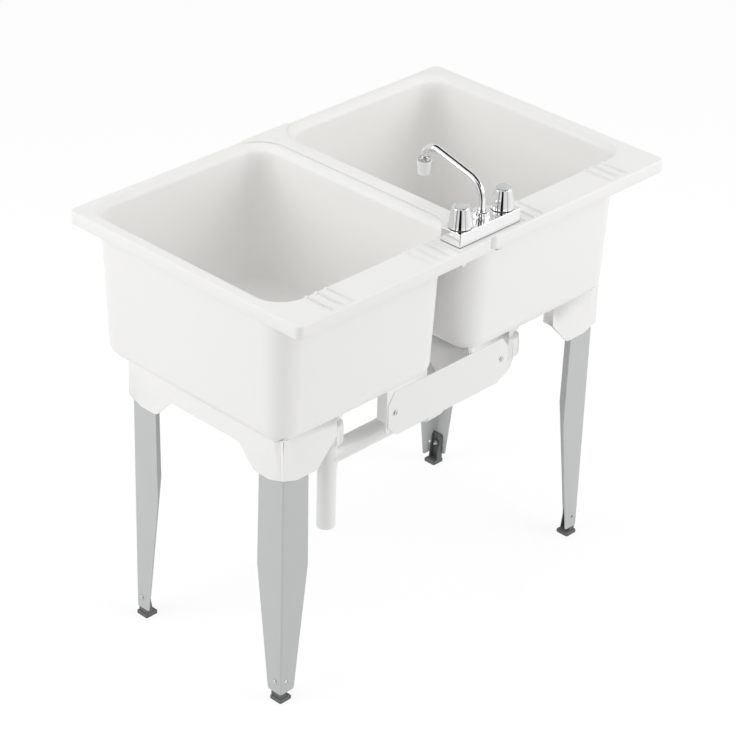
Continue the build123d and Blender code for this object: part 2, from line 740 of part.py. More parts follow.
# ---------------------------------------------------------------- valves and handles
knob_z = base_top + knob_gap
knob_top_z = knob_z + knob_height
knob_slope = (knob_base_radius - knob_top_radius) / (knob_height - knob_foot)
knob_lean = degrees(atan(knob_slope))
flute_ring = (knob_base_radius + knob_top_radius) / 2 + flute_radius - flute_depth
screw_seat_z = knob_top_z - cap_recess
cap_dome_radius = (cap_radius**2 + cap_dome**2) / (2 * cap_dome)
for water, valve_x in (("hot", -handle_centres / 2), ("cold", handle_centres / 2)):
    valve_axis = Axis((valve_x, faucet_y, 0), (0, 0, 1))
    valve_section = Plane((valve_x, faucet_y, 0), x_dir=(1, 0, 0), z_dir=(0, -1, 0))

    with BuildPart() as cartridge:
        with BuildSketch(Plane((valve_x, faucet_y, base_top - cartridge_seat_depth))):
            Circle(cartridge_radius)
        extrude(amount=cartridge_seat_depth)
        with BuildSketch(Plane((valve_x, faucet_y, base_top))):
            RegularPolygon(bonnet_width / 2, nut_sides, major_radius=False)
        extrude(amount=bonnet_height)
        with BuildSketch(Plane((valve_x, faucet_y, base_top + bonnet_height))):
            Circle(stem_radius + turning_gap)
        extrude(amount=-bonnet_height - stem_depth - turning_gap, mode=Mode.SUBTRACT)
    finish(cartridge, f"{water}_cartridge")

    with BuildPart() as stem:
        with BuildSketch(Plane((valve_x, faucet_y, base_top - stem_depth))):
            Circle(stem_radius)
        extrude(amount=stem_depth + stem_height)
        with BuildSketch(Plane((valve_x, faucet_y, base_top + stem_height))):
            Circle(knob_screw_radius + bolt_fit)
        extrude(amount=-knob_screw_length, mode=Mode.SUBTRACT)
    finish(stem, f"{water}_stem")

    with BuildPart() as knob:
        with BuildSketch(valve_section):
            with BuildLine():
                Polyline(
                    (0, knob_z),
                    (knob_base_radius, knob_z),
                    (knob_base_radius, knob_z + knob_foot),
                    (knob_top_radius, knob_top_z),
                    (0, knob_top_z),
                    close=True,
                )
            make_face()
        revolve(axis=valve_axis)
        fillet(knob.edges().group_by(Axis.Z)[-1], radius=knob_top_radius - cap_radius - stem_fit)
        with Locations(Plane((valve_x, faucet_y, knob_z + (knob_height + knob_foot) / 2))):
            with PolarLocations(flute_ring, knob_flutes):
                Cylinder(
                    flute_radius, 2 * knob_height, rotation=(0, -knob_lean, 0), mode=Mode.SUBTRACT
                )
        with BuildSketch(Plane((valve_x, faucet_y, knob_z))):
            Circle(knob_cavity_radius)
        extrude(amount=knob_cavity_depth, mode=Mode.SUBTRACT)
        with BuildSketch(Plane((valve_x, faucet_y, knob_z))):
            Circle(stem_radius + stem_fit)
        extrude(amount=base_top + stem_height - knob_z, mode=Mode.SUBTRACT)
        with BuildSketch(Plane((valve_x, faucet_y, knob_top_z))):
            Circle(cap_radius + stem_fit)
        extrude(amount=-cap_height, mode=Mode.SUBTRACT)
        with BuildSketch(Plane((valve_x, faucet_y, knob_top_z))):
            Circle(knob_screw_head_radius + housing_gap)
        extrude(amount=-cap_recess, mode=Mode.SUBTRACT)
        with BuildSketch(Plane((valve_x, faucet_y, knob_top_z))):
            Circle(knob_screw_radius + stem_fit)
        extrude(amount=base_top + stem_height - knob_top_z, mode=Mode.SUBTRACT)
    finish(knob, f"{water}_knob")

    with BuildPart() as knob_screw:
        with BuildSketch(Plane((valve_x, faucet_y, screw_seat_z))):
            Circle(knob_screw_head_radius)
        extrude(amount=knob_screw_head_height)
        with BuildSketch(Plane((valve_x, faucet_y, screw_seat_z))):
            Circle(knob_screw_radius)
        extrude(amount=-knob_screw_length)
    finish(knob_screw, f"{water}_knob_screw")

    with BuildPart() as knob_cap:
        with BuildSketch(Plane((valve_x, faucet_y, knob_top_z - cap_height))):
            Circle(cap_radius)
        extrude(amount=cap_height + cap_dome)
        with Locations((valve_x, faucet_y, knob_top_z + cap_dome - cap_dome_radius)):
            Sphere(cap_dome_radius, mode=Mode.INTERSECT)
    finish(knob_cap, f"{water}_cap")

# ---------------------------------------------------------------- spout
outlet_y = faucet_y - spout_reach
spout_corner_z = rim_height + spout_rise_height
tube_end_z = rim_height + tube_end_height
arm_end_z = spout_corner_z + spout_reach * tan(radians(spout_rise))
ring_z = tube_end_z - ring_overlap
outlet_axis = Axis((0, outlet_y, 0), (0, 0, 1))

with BuildPart() as spout_nut:
    with BuildSketch(Plane((0, faucet_y, base_top))):
        Circle(spout_nut_radius)
    extrude(amount=spout_nut_height)
    chamfer(spout_nut.edges().group_by(Axis.Z)[-1], length=spout_nut_bevel)
    with BuildSketch(Plane((0, faucet_y, base_top))):
        Circle(tube_radius + turning_gap)
        flute_centres = spout_nut_radius + spout_flute_radius - spout_flute_depth
        with PolarLocations(flute_centres, spout_nut_flutes):
            Circle(spout_flute_radius)
    extrude(amount=spout_nut_height, mode=Mode.SUBTRACT)
finish(spout_nut, "spout_nut")

with BuildPart() as spout:
    with BuildLine(Plane.YZ):
        FilletPolyline(
            (faucet_y, base_top - spout_seat),
            (faucet_y, spout_corner_z),
            (outlet_y, arm_end_z),
            (outlet_y, tube_end_z),
            radius=[riser_bend_radius, outlet_bend_radius],
        )
    with BuildSketch(Plane((0, faucet_y, base_top - spout_seat))):
        Circle(tube_radius)
        Circle(tube_radius - tube_wall, mode=Mode.SUBTRACT)
    sweep()
finish(spout, "spout")

with BuildPart() as spout_ring:
    with BuildSketch(Plane((0, outlet_y, ring_z))):
        Circle(ring_radius)
    extrude(amount=ring_height)
    chamfer(spout_ring.edges().group_by(Axis.Z)[-1], length=ring_overlap)
    with BuildSketch(Plane((0, outlet_y, ring_z))):
        Circle(tube_radius - tube_wall)
    extrude(amount=ring_height, mode=Mode.SUBTRACT)
    with BuildSketch(Plane((0, outlet_y, tube_end_z))):
        Circle(tube_radius + stem_fit)
    extrude(amount=ring_height, mode=Mode.SUBTRACT)
finish(spout_ring, "spout_ring")

with BuildPart() as spout_cap:
    with BuildSketch(Plane((0, outlet_y, 0), x_dir=(1, 0, 0), z_dir=(0, -1, 0))):
        with BuildLine():
            Polyline(
                (tube_radius, ring_z),
                (outlet_cap_top_radius, ring_z),
                (outlet_cap_bottom_radius, ring_z - outlet_cap_height),
                (outlet_cap_bottom_radius - outlet_cap_wall, ring_z - outlet_cap_height),
                (outlet_cap_top_radius - outlet_cap_wall, ring_z - outlet_cap_wall),
                (tube_radius, ring_z - outlet_cap_wall),
                close=True,
            )
        make_face()
    revolve(axis=outlet_axis)
finish(spout_cap, "spout_cap")

# ---------------------------------------------------------------- drains and waste
floor_top = floor_z + tub_wall
barrel_end_z = floor_top - drain_barrel_length
slip_nut_z = floor_z - slip_nut_drop
arm_z = floor_z - arm_drop
run_end_z = floor_z - tee_run_end_drop
outlet_end_z = floor_z - outlet_drop
tail_top_z = slip_nut_z + slip_nut_height - slip_nut_lip - slip_washer_height
tail_end_z = tail_top_z - pipe_insert
pipe_bore = pipe_radius + pipe_fit
pipe_inside = pipe_radius - pipe_wall
arm_nut_end_x = arm_nut_x - slip_nut_height
branch_end_x = arm_nut_end_x + slip_nut_lip + slip_washer_height


def slip_nut(seat):
    """A ribbed slip-joint nut standing on its open end."""
    with BuildPart(seat) as nut:
        ends = (Align.CENTER, Align.CENTER, Align.MIN)
        Cylinder(slip_nut_radius, slip_nut_height, align=ends)
        chamfer(nut.edges().filter_by(GeomType.CIRCLE), length=nut_rib_depth)
        with PolarLocations(slip_nut_radius, slip_nut_ribs):
            with Locations((0, 0, nut_rib_depth)):
                Box(
                    2 * nut_rib_depth,
                    nut_rib_width,
                    slip_nut_height - 2 * slip_nut_lip,
                    align=ends,
                )
        Cylinder(
            hub_radius + pipe_fit, slip_nut_height - slip_nut_lip, align=ends, mode=Mode.SUBTRACT
        )
        Cylinder(pipe_bore, slip_nut_height, align=ends, mode=Mode.SUBTRACT)
    return nut


with BuildPart() as slip_washers:
    for seat in (
        Plane((tub_x, drain_y, tail_top_z)),
        Plane((-tub_x, drain_y, tail_top_z)),
        Plane((branch_end_x, drain_y, arm_z), z_dir=(-1, 0, 0)),
    ):
        with BuildSketch(seat):
            Circle(hub_radius)
            Circle(pipe_bore, mode=Mode.SUBTRACT)
        extrude(amount=slip_washer_height)
finish(slip_washers, "slip_washers")

for side, side_x in (("right", tub_x), ("left", -tub_x)):
    with BuildPart() as drain_flange:
        with BuildSketch(Plane((side_x, drain_y, floor_top))):
            Circle(drain_rim_radius)
        extrude(amount=drain_rim_height)
        chamfer(drain_flange.edges().group_by(Axis.Z)[-1], length=drain_rim_bevel)
        with BuildSketch(Plane((side_x, drain_y, barrel_end_z))):
            Circle(drain_barrel_radius)
        extrude(amount=drain_barrel_length)
        with BuildSketch(Plane((side_x, drain_y, barrel_end_z))):
            Circle(drain_barrel_radius - drain_barrel_wall)
        extrude(amount=drain_barrel_length + drain_rim_height, mode=Mode.SUBTRACT)
        with BuildSketch(Plane((side_x, drain_y, floor_top))):
            Rectangle(2 * drain_barrel_radius, drain_bar)
            Rectangle(drain_bar, 2 * drain_barrel_radius)
        extrude(amount=-drain_bar)
    finish(drain_flange, f"{side}_drain_flange")

    with BuildPart() as drain_gasket:
        with BuildSketch(Plane((side_x, drain_y, floor_z))):
            Circle(gasket_ring_radius)
            Circle(drain_barrel_radius + drain_fit, mode=Mode.SUBTRACT)
        extrude(amount=-gasket_ring_height)
    finish(drain_gasket, f"{side}_drain_gasket")

    with BuildPart() as drain_locknut:
        with BuildSketch(Plane((side_x, drain_y, floor_z - gasket_ring_height))):
            Circle(locknut_radius)
            with PolarLocations(locknut_radius, locknut_lugs):
                Rectangle(2 * lug_reach, lug_width)
            Circle(drain_barrel_radius + pipe_fit, mode=Mode.SUBTRACT)
        extrude(amount=-locknut_height)
    finish(drain_locknut, f"{side}_drain_locknut")

    with BuildPart() as tailpiece:
        with BuildSketch(Plane((side_x, drain_y, barrel_end_z))):
            Circle(tail_flange_radius)
        extrude(amount=-tail_flange_height)
        with BuildSketch(Plane((side_x, drain_y, tail_end_z))):
            Circle(tail_radius)
        extrude(amount=barrel_end_z - tail_end_z)
        with BuildSketch(Plane((side_x, drain_y, tail_end_z))):
            Circle(pipe_inside)
        extrude(amount=barrel_end_z - tail_end_z, mode=Mode.SUBTRACT)
    finish(tailpiece, f"{side}_tailpiece")

    with BuildPart() as tail_nut:
        with BuildSketch(Plane((side_x, drain_y, barrel_end_z - 2 * tail_flange_height))):
            RegularPolygon(tail_nut_radius, tail_nut_sides)
        extrude(amount=tail_nut_height)
        with BuildSketch(Plane((side_x, drain_y, barrel_end_z - tail_flange_height))):
            Circle(drain_barrel_radius + pipe_fit)
        extrude(amount=tail_nut_height, mode=Mode.SUBTRACT)
        with BuildSketch(Plane((side_x, drain_y, barrel_end_z - 2 * tail_flange_height))):
            Circle(pipe_bore)
        extrude(amount=tail_nut_height, mode=Mode.SUBTRACT)
    finish(tail_nut, f"{side}_tailpiece_nut")

    finish(slip_nut(Plane((side_x, drain_y, slip_nut_z))), f"{side}_slip_nut")

finish(slip_nut(Plane((arm_nut_x, drain_y, arm_z), z_dir=(-1, 0, 0))), "arm_slip_nut")

# Tee under the right drain, with the long branch that reaches the middle of the sink. Its run
# steps down to the plain outlet tube.
with BuildPart() as waste_tee:
    with BuildSketch(Plane((tub_x, drain_y, outlet_end_z))):
        Circle(pipe_radius)
    extrude(amount=run_end_z - outlet_end_z)
    with BuildSketch(Plane((tub_x, drain_y, run_end_z))):
        Circle(tee_run_radius)
    extrude(amount=tail_top_z - run_end_z)
    branch_start = Plane((tub_x, drain_y, arm_z), z_dir=(-1, 0, 0))
    with BuildSketch(branch_start):
        Circle(fitting_radius)
    extrude(amount=tub_x - branch_end_x)
    with BuildSketch(Plane((tub_x, drain_y, tail_top_z))):
        Circle(hub_radius)
    extrude(amount=-hub_length)
    with BuildSketch(Plane((branch_end_x, drain_y, arm_z), z_dir=(1, 0, 0))):
        Circle(hub_radius)
    extrude(amount=hub_length)
    with BuildSketch(Plane((tub_x, drain_y, tail_end_z - pipe_fit))):
        Circle(pipe_bore)
    extrude(amount=tail_top_z - tail_end_z + pipe_fit, mode=Mode.SUBTRACT)
    with BuildSketch(Plane((tub_x, drain_y, outlet_end_z))):
        Circle(pipe_inside)
    extrude(amount=tail_top_z - outlet_end_z, mode=Mode.SUBTRACT)
    with BuildSketch(branch_start):
        Circle(pipe_bore)
    extrude(amount=tub_x - branch_end_x, mode=Mode.SUBTRACT)
finish(waste_tee, "waste_tee")

# Arm from the left drain: an elbow under the drain and a pipe into the tee's branch.
arm_start_x = branch_end_x + pipe_insert
elbow_run_x = elbow_bend_radius + fitting_radius - tub_x
with BuildPart() as waste_arm:
    with BuildLine(Plane.XZ.offset(-drain_y)):
        FilletPolyline(
            (arm_start_x, arm_z), (-tub_x, arm_z), (-tub_x, tail_top_z), radius=elbow_bend_radius
        )
    with BuildSketch(Plane((arm_start_x, drain_y, arm_z), z_dir=(-1, 0, 0))):
        Circle(pipe_radius)
    sweep()
    with BuildLine(Plane.XZ.offset(-drain_y)):
        FilletPolyline(
            (elbow_run_x, arm_z), (-tub_x, arm_z), (-tub_x, tail_top_z), radius=elbow_bend_radius
        )
    with BuildSketch(Plane((elbow_run_x, drain_y, arm_z), z_dir=(-1, 0, 0))):
        Circle(fitting_radius)
    sweep()
    with BuildSketch(Plane((-tub_x, drain_y, tail_top_z))):
        Circle(hub_radius)
    extrude(amount=-hub_length)
    with BuildLine(Plane.XZ.offset(-drain_y)):
        FilletPolyline(
            (arm_start_x, arm_z), (-tub_x, arm_z), (-tub_x, tail_top_z), radius=elbow_bend_radius
        )
    with BuildSketch(Plane((arm_start_x, drain_y, arm_z), z_dir=(-1, 0, 0))):
        Circle(pipe_inside)
    sweep(mode=Mode.SUBTRACT)
    with BuildSketch(Plane((-tub_x, drain_y, tail_top_z))):
        Circle(pipe_bore)
    extrude(amount=-pipe_insert - pipe_fit, mode=Mode.SUBTRACT)
finish(waste_arm, "waste_arm")
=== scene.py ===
import math

import bmesh
import bpy
import numpy as np
from mathutils import Matrix, Vector
from mathutils.bvhtree import BVHTree


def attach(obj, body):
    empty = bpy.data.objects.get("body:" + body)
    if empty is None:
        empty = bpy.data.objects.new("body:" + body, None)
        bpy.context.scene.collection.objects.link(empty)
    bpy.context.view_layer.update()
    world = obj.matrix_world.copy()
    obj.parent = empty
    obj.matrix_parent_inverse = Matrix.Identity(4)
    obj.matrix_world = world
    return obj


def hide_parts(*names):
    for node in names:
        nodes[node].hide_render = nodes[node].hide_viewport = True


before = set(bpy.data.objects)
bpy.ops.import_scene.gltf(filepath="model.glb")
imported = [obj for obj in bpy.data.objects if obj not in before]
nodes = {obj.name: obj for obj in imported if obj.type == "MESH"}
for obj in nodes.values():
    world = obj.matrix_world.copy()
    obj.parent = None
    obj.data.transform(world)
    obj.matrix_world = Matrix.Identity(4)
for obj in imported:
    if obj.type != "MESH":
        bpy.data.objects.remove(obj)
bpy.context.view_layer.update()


# Camera. The photograph looks down on the sink's rear right corner with a long lens. The values
# are fitted to the corners of the rim, the aprons and the legs.
CAMERA_AZIMUTH = math.radians(46.42)  # from +Y towards +X
CAMERA_ELEVATION = math.radians(30.13)
CAMERA_ROLL = math.radians(1.795)
CAMERA_TARGET = Vector((0, 0, 0.45))
CAMERA_SHIFT = (-0.001504, 0.039697)  # metres across and up, from the target
CAMERA_DISTANCE = 5.31076
FOCAL_PIXELS = 2618.29
PHOTO_PIXELS = 736
SENSOR_MM = 36.0
CLIP_END = 50


def placed(name, data):
    """A new object in the scene, with its data."""
    made = bpy.data.objects.new(name, data)
    bpy.context.scene.collection.objects.link(made)
    return made


back = Vector((
    math.sin(CAMERA_AZIMUTH) * math.cos(CAMERA_ELEVATION),
    math.cos(CAMERA_AZIMUTH) * math.cos(CAMERA_ELEVATION),
    math.sin(CAMERA_ELEVATION),
))
level_right = Vector((0, 0, 1)).cross(back).normalized()
level_up = back.cross(level_right)
camera_right = level_right * math.cos(CAMERA_ROLL) + level_up * math.sin(CAMERA_ROLL)
camera_up = level_up * math.cos(CAMERA_ROLL) - level_right * math.sin(CAMERA_ROLL)
camera_data = bpy.data.cameras.new("camera")
camera_data.sensor_width = SENSOR_MM
camera_data.lens = FOCAL_PIXELS / PHOTO_PIXELS * SENSOR_MM
camera_data.clip_end = CLIP_END
camera = placed("camera", camera_data)
camera_place = (
    CAMERA_TARGET
    + level_right * CAMERA_SHIFT[0]
    + level_up * CAMERA_SHIFT[1]
    + back * CAMERA_DISTANCE
)
camera_turn = Matrix((camera_right, camera_up, back)).transposed().to_4x4()
camera.matrix_world = Matrix.Translation(camera_place) @ camera_turn
bpy.context.scene.camera = camera


# Floor, room and lamps. A pale floor that keeps a faint shadow, an even room that the camera
# sees as plain white, a soft lamp on each side of the camera and one overhead. Dark cards that
# only reflections see draw the chrome.
FLOOR_REACH = 6.0
FLOOR_GLOW = 0.84  # what the camera sees of the floor, besides its shaded part
FLOOR_TONE = 0.2
FLOOR_BOUNCE = 0.9  # what the floor throws back on the object
ROOM_STRENGTH = 0.72
ROOM_TONE = 0.8
LAMP_AIM = Vector((0, 0, 0.65))


def add_node(tree, kind, inputs=(), **settings):
    """A node of a tree with its settings, its inputs fed by sockets or plain values."""
    node = tree.nodes.new(kind)
    for setting, value in settings.items():
        setattr(node, setting, value)
    for socket, value in dict(inputs).items():
        if isinstance(value, bpy.types.NodeSocket):
            tree.links.new(value, node.inputs[socket])
        else:
            node.inputs[socket].default_value = value
    return node


def math_node(tree, operation, *values):
    """The result of a math node, fed by sockets or plain numbers."""
    return add_node(tree, "ShaderNodeMath", enumerate(values), operation=operation).outputs[0]


def picked(tree, share, first, second):
    """One shader where the share is 0 and another where it is 1."""
    inputs = {0: share, 1: first.outputs[0], 2: second.outputs[0]}
    return add_node(tree, "ShaderNodeMixShader", inputs)


def sheet(name, corners, material):
    """A flat four-cornered sheet of the stage, which isn't a piece of the object."""
    mesh = bpy.data.meshes.new(name)
    mesh.from_pydata(corners, [], [(0, 1, 2, 3)])
    mesh.materials.append(material)
    made = placed(name, mesh)
    return made


floor_paint = bpy.data.materials.new("floor_paint")
floor_paint.use_nodes = True
tree = floor_paint.node_tree
tree.nodes.clear()
ray = add_node(tree, "ShaderNodeLightPath")
glow = add_node(tree, "ShaderNodeEmission", {"Color": (1, 1, 1, 1), "Strength": FLOOR_GLOW})
shaded = add_node(tree, "ShaderNodeBsdfDiffuse", {"Color": (*[FLOOR_TONE] * 3, 1)})
seen = add_node(tree, "ShaderNodeAddShader", {0: glow.outputs[0], 1: shaded.outputs[0]})
bounce = add_node(tree, "ShaderNodeBsdfDiffuse", {"Color": (*[FLOOR_BOUNCE] * 3, 1)})
direct = math_node(tree, "MAXIMUM", ray.outputs["Is Camera Ray"], ray.outputs["Is Glossy Ray"])
shown = picked(tree, direct, bounce, seen)
add_node(tree, "ShaderNodeOutputMaterial", {"Surface": shown.outputs[0]})
floor_corners = [(-1, -1, 0), (1, -1, 0), (1, 1, 0), (-1, 1, 0)]
floor_corners = [Vector(corner) * FLOOR_REACH for corner in floor_corners]
sheet("floor", floor_corners, floor_paint)

room_world = bpy.data.worlds.new("room")
room_world.use_nodes = True
tree = room_world.node_tree
tree.nodes.clear()
ray = add_node(tree, "ShaderNodeLightPath")
room_color = (*[ROOM_TONE] * 3, 1)
room = add_node(tree, "ShaderNodeBackground", {"Color": room_color, "Strength": ROOM_STRENGTH})
mirrored_room = add_node(tree, "ShaderNodeBackground", {"Color": room_color, "Strength": 1.0})
backdrop = add_node(tree, "ShaderNodeBackground", {"Color": (1, 1, 1, 1), "Strength": 1.0})
mirrored = math_node(
    tree, "MAXIMUM", ray.outputs["Is Glossy Ray"], ray.outputs["Is Transmission Ray"]
)
unseen = picked(tree, mirrored, room, mirrored_room)
shown = picked(tree, ray.outputs["Is Camera Ray"], unseen, backdrop)
add_node(tree, "ShaderNodeOutputWorld", {"Surface": shown.outputs[0]})
bpy.context.scene.world = room_world
bpy.context.scene.view_settings.view_transform = "Standard"

for lamp_name, azimuth, distance, height, size, watts in (
    ("lamp_left", 112.0, 3.2, 2.2, (2.4, 1.8), 37.0),
    ("lamp_right", -32.0, 3.2, 2.2, (2.4, 1.8), 38.0),
    ("lamp_over", 0.0, 0.01, 3.3, (1.5, 1.2), 7.8),
):
    lamp_data = bpy.data.lights.new(lamp_name, "AREA")
    lamp_data.shape = "RECTANGLE"
    lamp_data.size, lamp_data.size_y = size
    lamp_data.energy = watts
    side = math.radians(azimuth)
    stand = Vector((distance * math.sin(side), distance * math.cos(side), height))
    aim = (LAMP_AIM - stand).to_track_quat("-Z", "Y").to_matrix().to_4x4()
    placed(lamp_name, lamp_data).matrix_world = Matrix.Translation(stand) @ aim

card_paint = bpy.data.materials.new("card_paint")
card_paint.use_nodes = True
card_paint.node_tree.nodes["Principled BSDF"].inputs["Base Color"].default_value = (0, 0, 0, 1)
card_paint.node_tree.nodes["Principled BSDF"].inputs["Roughness"].default_value = 1.0
for card_name, corners in (
    ("card_front", ((0.78, 1.36, 0.02), (1.40, 0.71, 0.02), (1.40, 0.71, 2.2), (0.78, 1.36, 2.2))),
    ("card_high", ((-1.3, -1.2, 2.6), (0.4, -1.2, 2.6), (0.4, 2.6, 2.6), (-1.3, 2.6, 2.6))),
):
    card = sheet(card_name, corners, card_paint)
    card.visible_camera = False
    card.visible_diffuse = False
    card.visible_shadow = False
    card.visible_transmission = False


# Tubs. Each bowl, with its rim and ledge, is one moulding of white plastic with drafted walls
# and rounded edges. The mouth rolls out to the rim, and is crisper along the ledge.
MM = 0.001
TUB_X = 254.0
HALF_X = 254.0
HALF_Y = 312.5
RIM_Z = 910.0
WALL = 5.0
DRAFT = math.tan(math.radians(2.4))
BOWL_Y = -26.0
BOWL_HALF_X = 225.0  # outside of the bowl, measured at the rim
BOWL_HALF_Y = 265.0
BOWL_CORNER = 57.0
BOWL_DROP = 313.0
FLOOR_ROUND = 30.0
MOUTH_ROUND = 17.0
LEDGE_ROUND = 6.0
LIP_DROP = 27.0
LIP_WALL = 4.0
LIP_CORNER = 13.0
LIP_ROUND = 3.0
LIP_EDGE = 1.2
UNDER_ROUND = 4.0
DRAIN_Y = 138.0
DRAIN_HOLE = 24.4
SHARPEST = 1.0  # least plan radius of a drawn-in corner
EASE = 0.35  # share of the lip's small edges at which their rounding is cut off
DECK_EASE = 0.3
SIDE_STEPS, CORNER_STEPS, LEDGE_STEPS, FRONT_STEPS = 26, 12, 640, 36  # points round a ring
INNER_BENDS, MOUTH_BENDS, LIP_BENDS, UNDER_BENDS, OUTER_BENDS = 9, 15, 6, 5, 11  # rings of bends
FLOOR_RUNS, WALL_RUNS, DECK_RUNS, UNDERSIDE_RUNS = 5, 7, 14, 4  # rings of the flats between


def grain_group():
    """Skin of a moulded or coated surface: slow colour drift, gloss drift and fine grain."""
    group = bpy.data.node_groups.new("moulded_skin", "ShaderNodeTree")
    for socket_name, kind, value in (
        ("Light Color", "NodeSocketColor", (0.8, 0.8, 0.8, 1)),
        ("Dark Color", "NodeSocketColor", (0.7, 0.7, 0.7, 1)),
        ("Drift Scale", "NodeSocketFloat", 4.0),
        ("Gloss Low", "NodeSocketFloat", 0.35),
        ("Gloss High", "NodeSocketFloat", 0.45),
        ("Grain Scale", "NodeSocketFloat", 900.0),
        ("Wave Scale", "NodeSocketFloat", 18.0),
        ("Wave Share", "NodeSocketFloat", 0.5),
    ):
        made = group.interface.new_socket(socket_name, in_out="INPUT", socket_type=kind)
        made.default_value = value
    for socket_name, kind in (("Color", "Color"), ("Roughness", "Float"), ("Height", "Float")):
        group.interface.new_socket(socket_name, in_out="OUTPUT", socket_type=f"NodeSocket{kind}")
    given = group.nodes.new("NodeGroupInput").outputs
    where = group.nodes.new("ShaderNodeTexCoord").outputs["Object"]
    drift, grain, wave = (
        add_node(
            group, "ShaderNodeTexNoise", {"Vector": where, "Scale": given[scale], "Detail": detail}
        ).outputs["Fac"]
        for scale, detail in (("Drift Scale", 3), ("Grain Scale", 2), ("Wave Scale", 1))
    )
    tint = {"Factor": drift, "A": given["Dark Color"], "B": given["Light Color"]}
    gloss = {"Value": wave, "To Min": given["Gloss Low"], "To Max": given["Gloss High"]}
    relief = {"Factor": given["Wave Share"], "A": grain, "B": wave}
    results = {
        "Color": add_node(group, "ShaderNodeMix", tint, data_type="RGBA").outputs["Result"],
        "Roughness": add_node(group, "ShaderNodeMapRange", gloss).outputs["Result"],
        "Height": add_node(group, "ShaderNodeMix", relief).outputs["Result"],
    }
    add_node(group, "NodeGroupOutput", results)
    return group


skin = grain_group()


def finish_of(name, light, dark, gloss, grain, relief, wave=(18.0, 0.4), drift=4.0, metal=0.0):
    """A material whose colour, gloss and relief come from the skin group."""
    material = bpy.data.materials.new(name)
    material.use_nodes = True
    tree = material.node_tree
    values = {
        "Light Color": (*light, 1),
        "Dark Color": (*dark, 1),
        "Drift Scale": drift,
        "Gloss Low": gloss[0],
        "Gloss High": gloss[1],
        "Grain Scale": grain,
        "Wave Scale": wave[0],
        "Wave Share": wave[1],
    }
    surface = add_node(tree, "ShaderNodeGroup", values, node_tree=skin).outputs
    depth = {"Strength": relief[0], "Distance": relief[1] * MM, "Height": surface["Height"]}
    bump = add_node(tree, "ShaderNodeBump", depth)
    shader = tree.nodes["Principled BSDF"]
    tree.links.new(surface["Color"], shader.inputs["Base Color"])
    tree.links.new(surface["Roughness"], shader.inputs["Roughness"])
    tree.links.new(bump.outputs["Normal"], shader.inputs["Normal"])
    shader.inputs["Metallic"].default_value = metal
    return material


white_plastic = finish_of(
    "white_plastic",
    (0.946, 0.942, 0.928),
    (0.934, 0.929, 0.912),
    (0.34, 0.46),
    1400.0,
    (0.25, 0.05),
)
white_plastic.node_tree.nodes["Principled BSDF"].inputs["IOR"].default_value = 1.49


def ring(half_x, front, back, radius, height):
    """Points round a rounded rectangle, anticlockwise from its right side."""
    side = np.linspace(front + radius, back - radius, SIDE_STEPS, endpoint=False)
    ledge_run = np.linspace(half_x - radius, radius - half_x, LEDGE_STEPS, endpoint=False)
    front_run = np.linspace(radius - half_x, half_x - radius, FRONT_STEPS, endpoint=False)
    turn = np.linspace(0, np.pi / 2, CORNER_STEPS, endpoint=False)
    corners = [
        (half_x - radius, back - radius, 0.0),
        (radius - half_x, back - radius, 0.5 * np.pi),
        (radius - half_x, front + radius, np.pi),
        (half_x - radius, front + radius, 1.5 * np.pi),
    ]
    arcs = [
        np.stack([x + radius * np.cos(turn + start), y + radius * np.sin(turn + start)], 1)
        for x, y, start in corners
    ]
    runs = [
        np.stack([np.full(SIDE_STEPS, half_x), side], 1),
        np.stack([ledge_run, np.full(LEDGE_STEPS, back)], 1),
        np.stack([np.full(SIDE_STEPS, -half_x), -side + front + back], 1),
        np.stack([front_run, np.full(FRONT_STEPS, front)], 1),
    ]
    flat = np.concatenate([part for pair in zip(runs, arcs) for part in pair])
    return np.column_stack([flat, np.full(len(flat), height)])


def lip_ring(inset, height):
    """A ring of the rim's outer lip."""
    corner = max(LIP_CORNER - inset, SHARPEST)
    return ring(HALF_X - inset, inset - HALF_Y, HALF_Y - inset, corner, height)


def bowl_ring(half_x, half_y, corner, inset, height, back_inset=None):
    """A ring of the bowl, drawn in from its size at the rim by the draft and by an inset."""
    drawn = (RIM_Z - height) * DRAFT + inset
    back_drawn = drawn if back_inset is None else (RIM_Z - height) * DRAFT + back_inset
    return ring(
        half_x - drawn,
        BOWL_Y - half_y + drawn,
        BOWL_Y + half_y - back_drawn,
        max(corner - drawn, SHARPEST),
        height,
    )


def drain_ring(outer, height):
    """The drain hole's edge, with one point towards each point of the ring around it."""
    away = outer[:, :2] - np.array([0, DRAIN_Y])
    away *= DRAIN_HOLE / np.linalg.norm(away, axis=1)[:, None]
    return np.column_stack([away + np.array([0, DRAIN_Y]), np.full(len(outer), height)])


def between(first, last, steps):
    """Rings spaced evenly between two others."""
    return [first + (last - first) * step / steps for step in range(1, steps)]


def quarter(steps):
    """Angles of a quarter turn, from 0 to 90 degrees."""
    return np.radians(np.linspace(0, 90, steps))


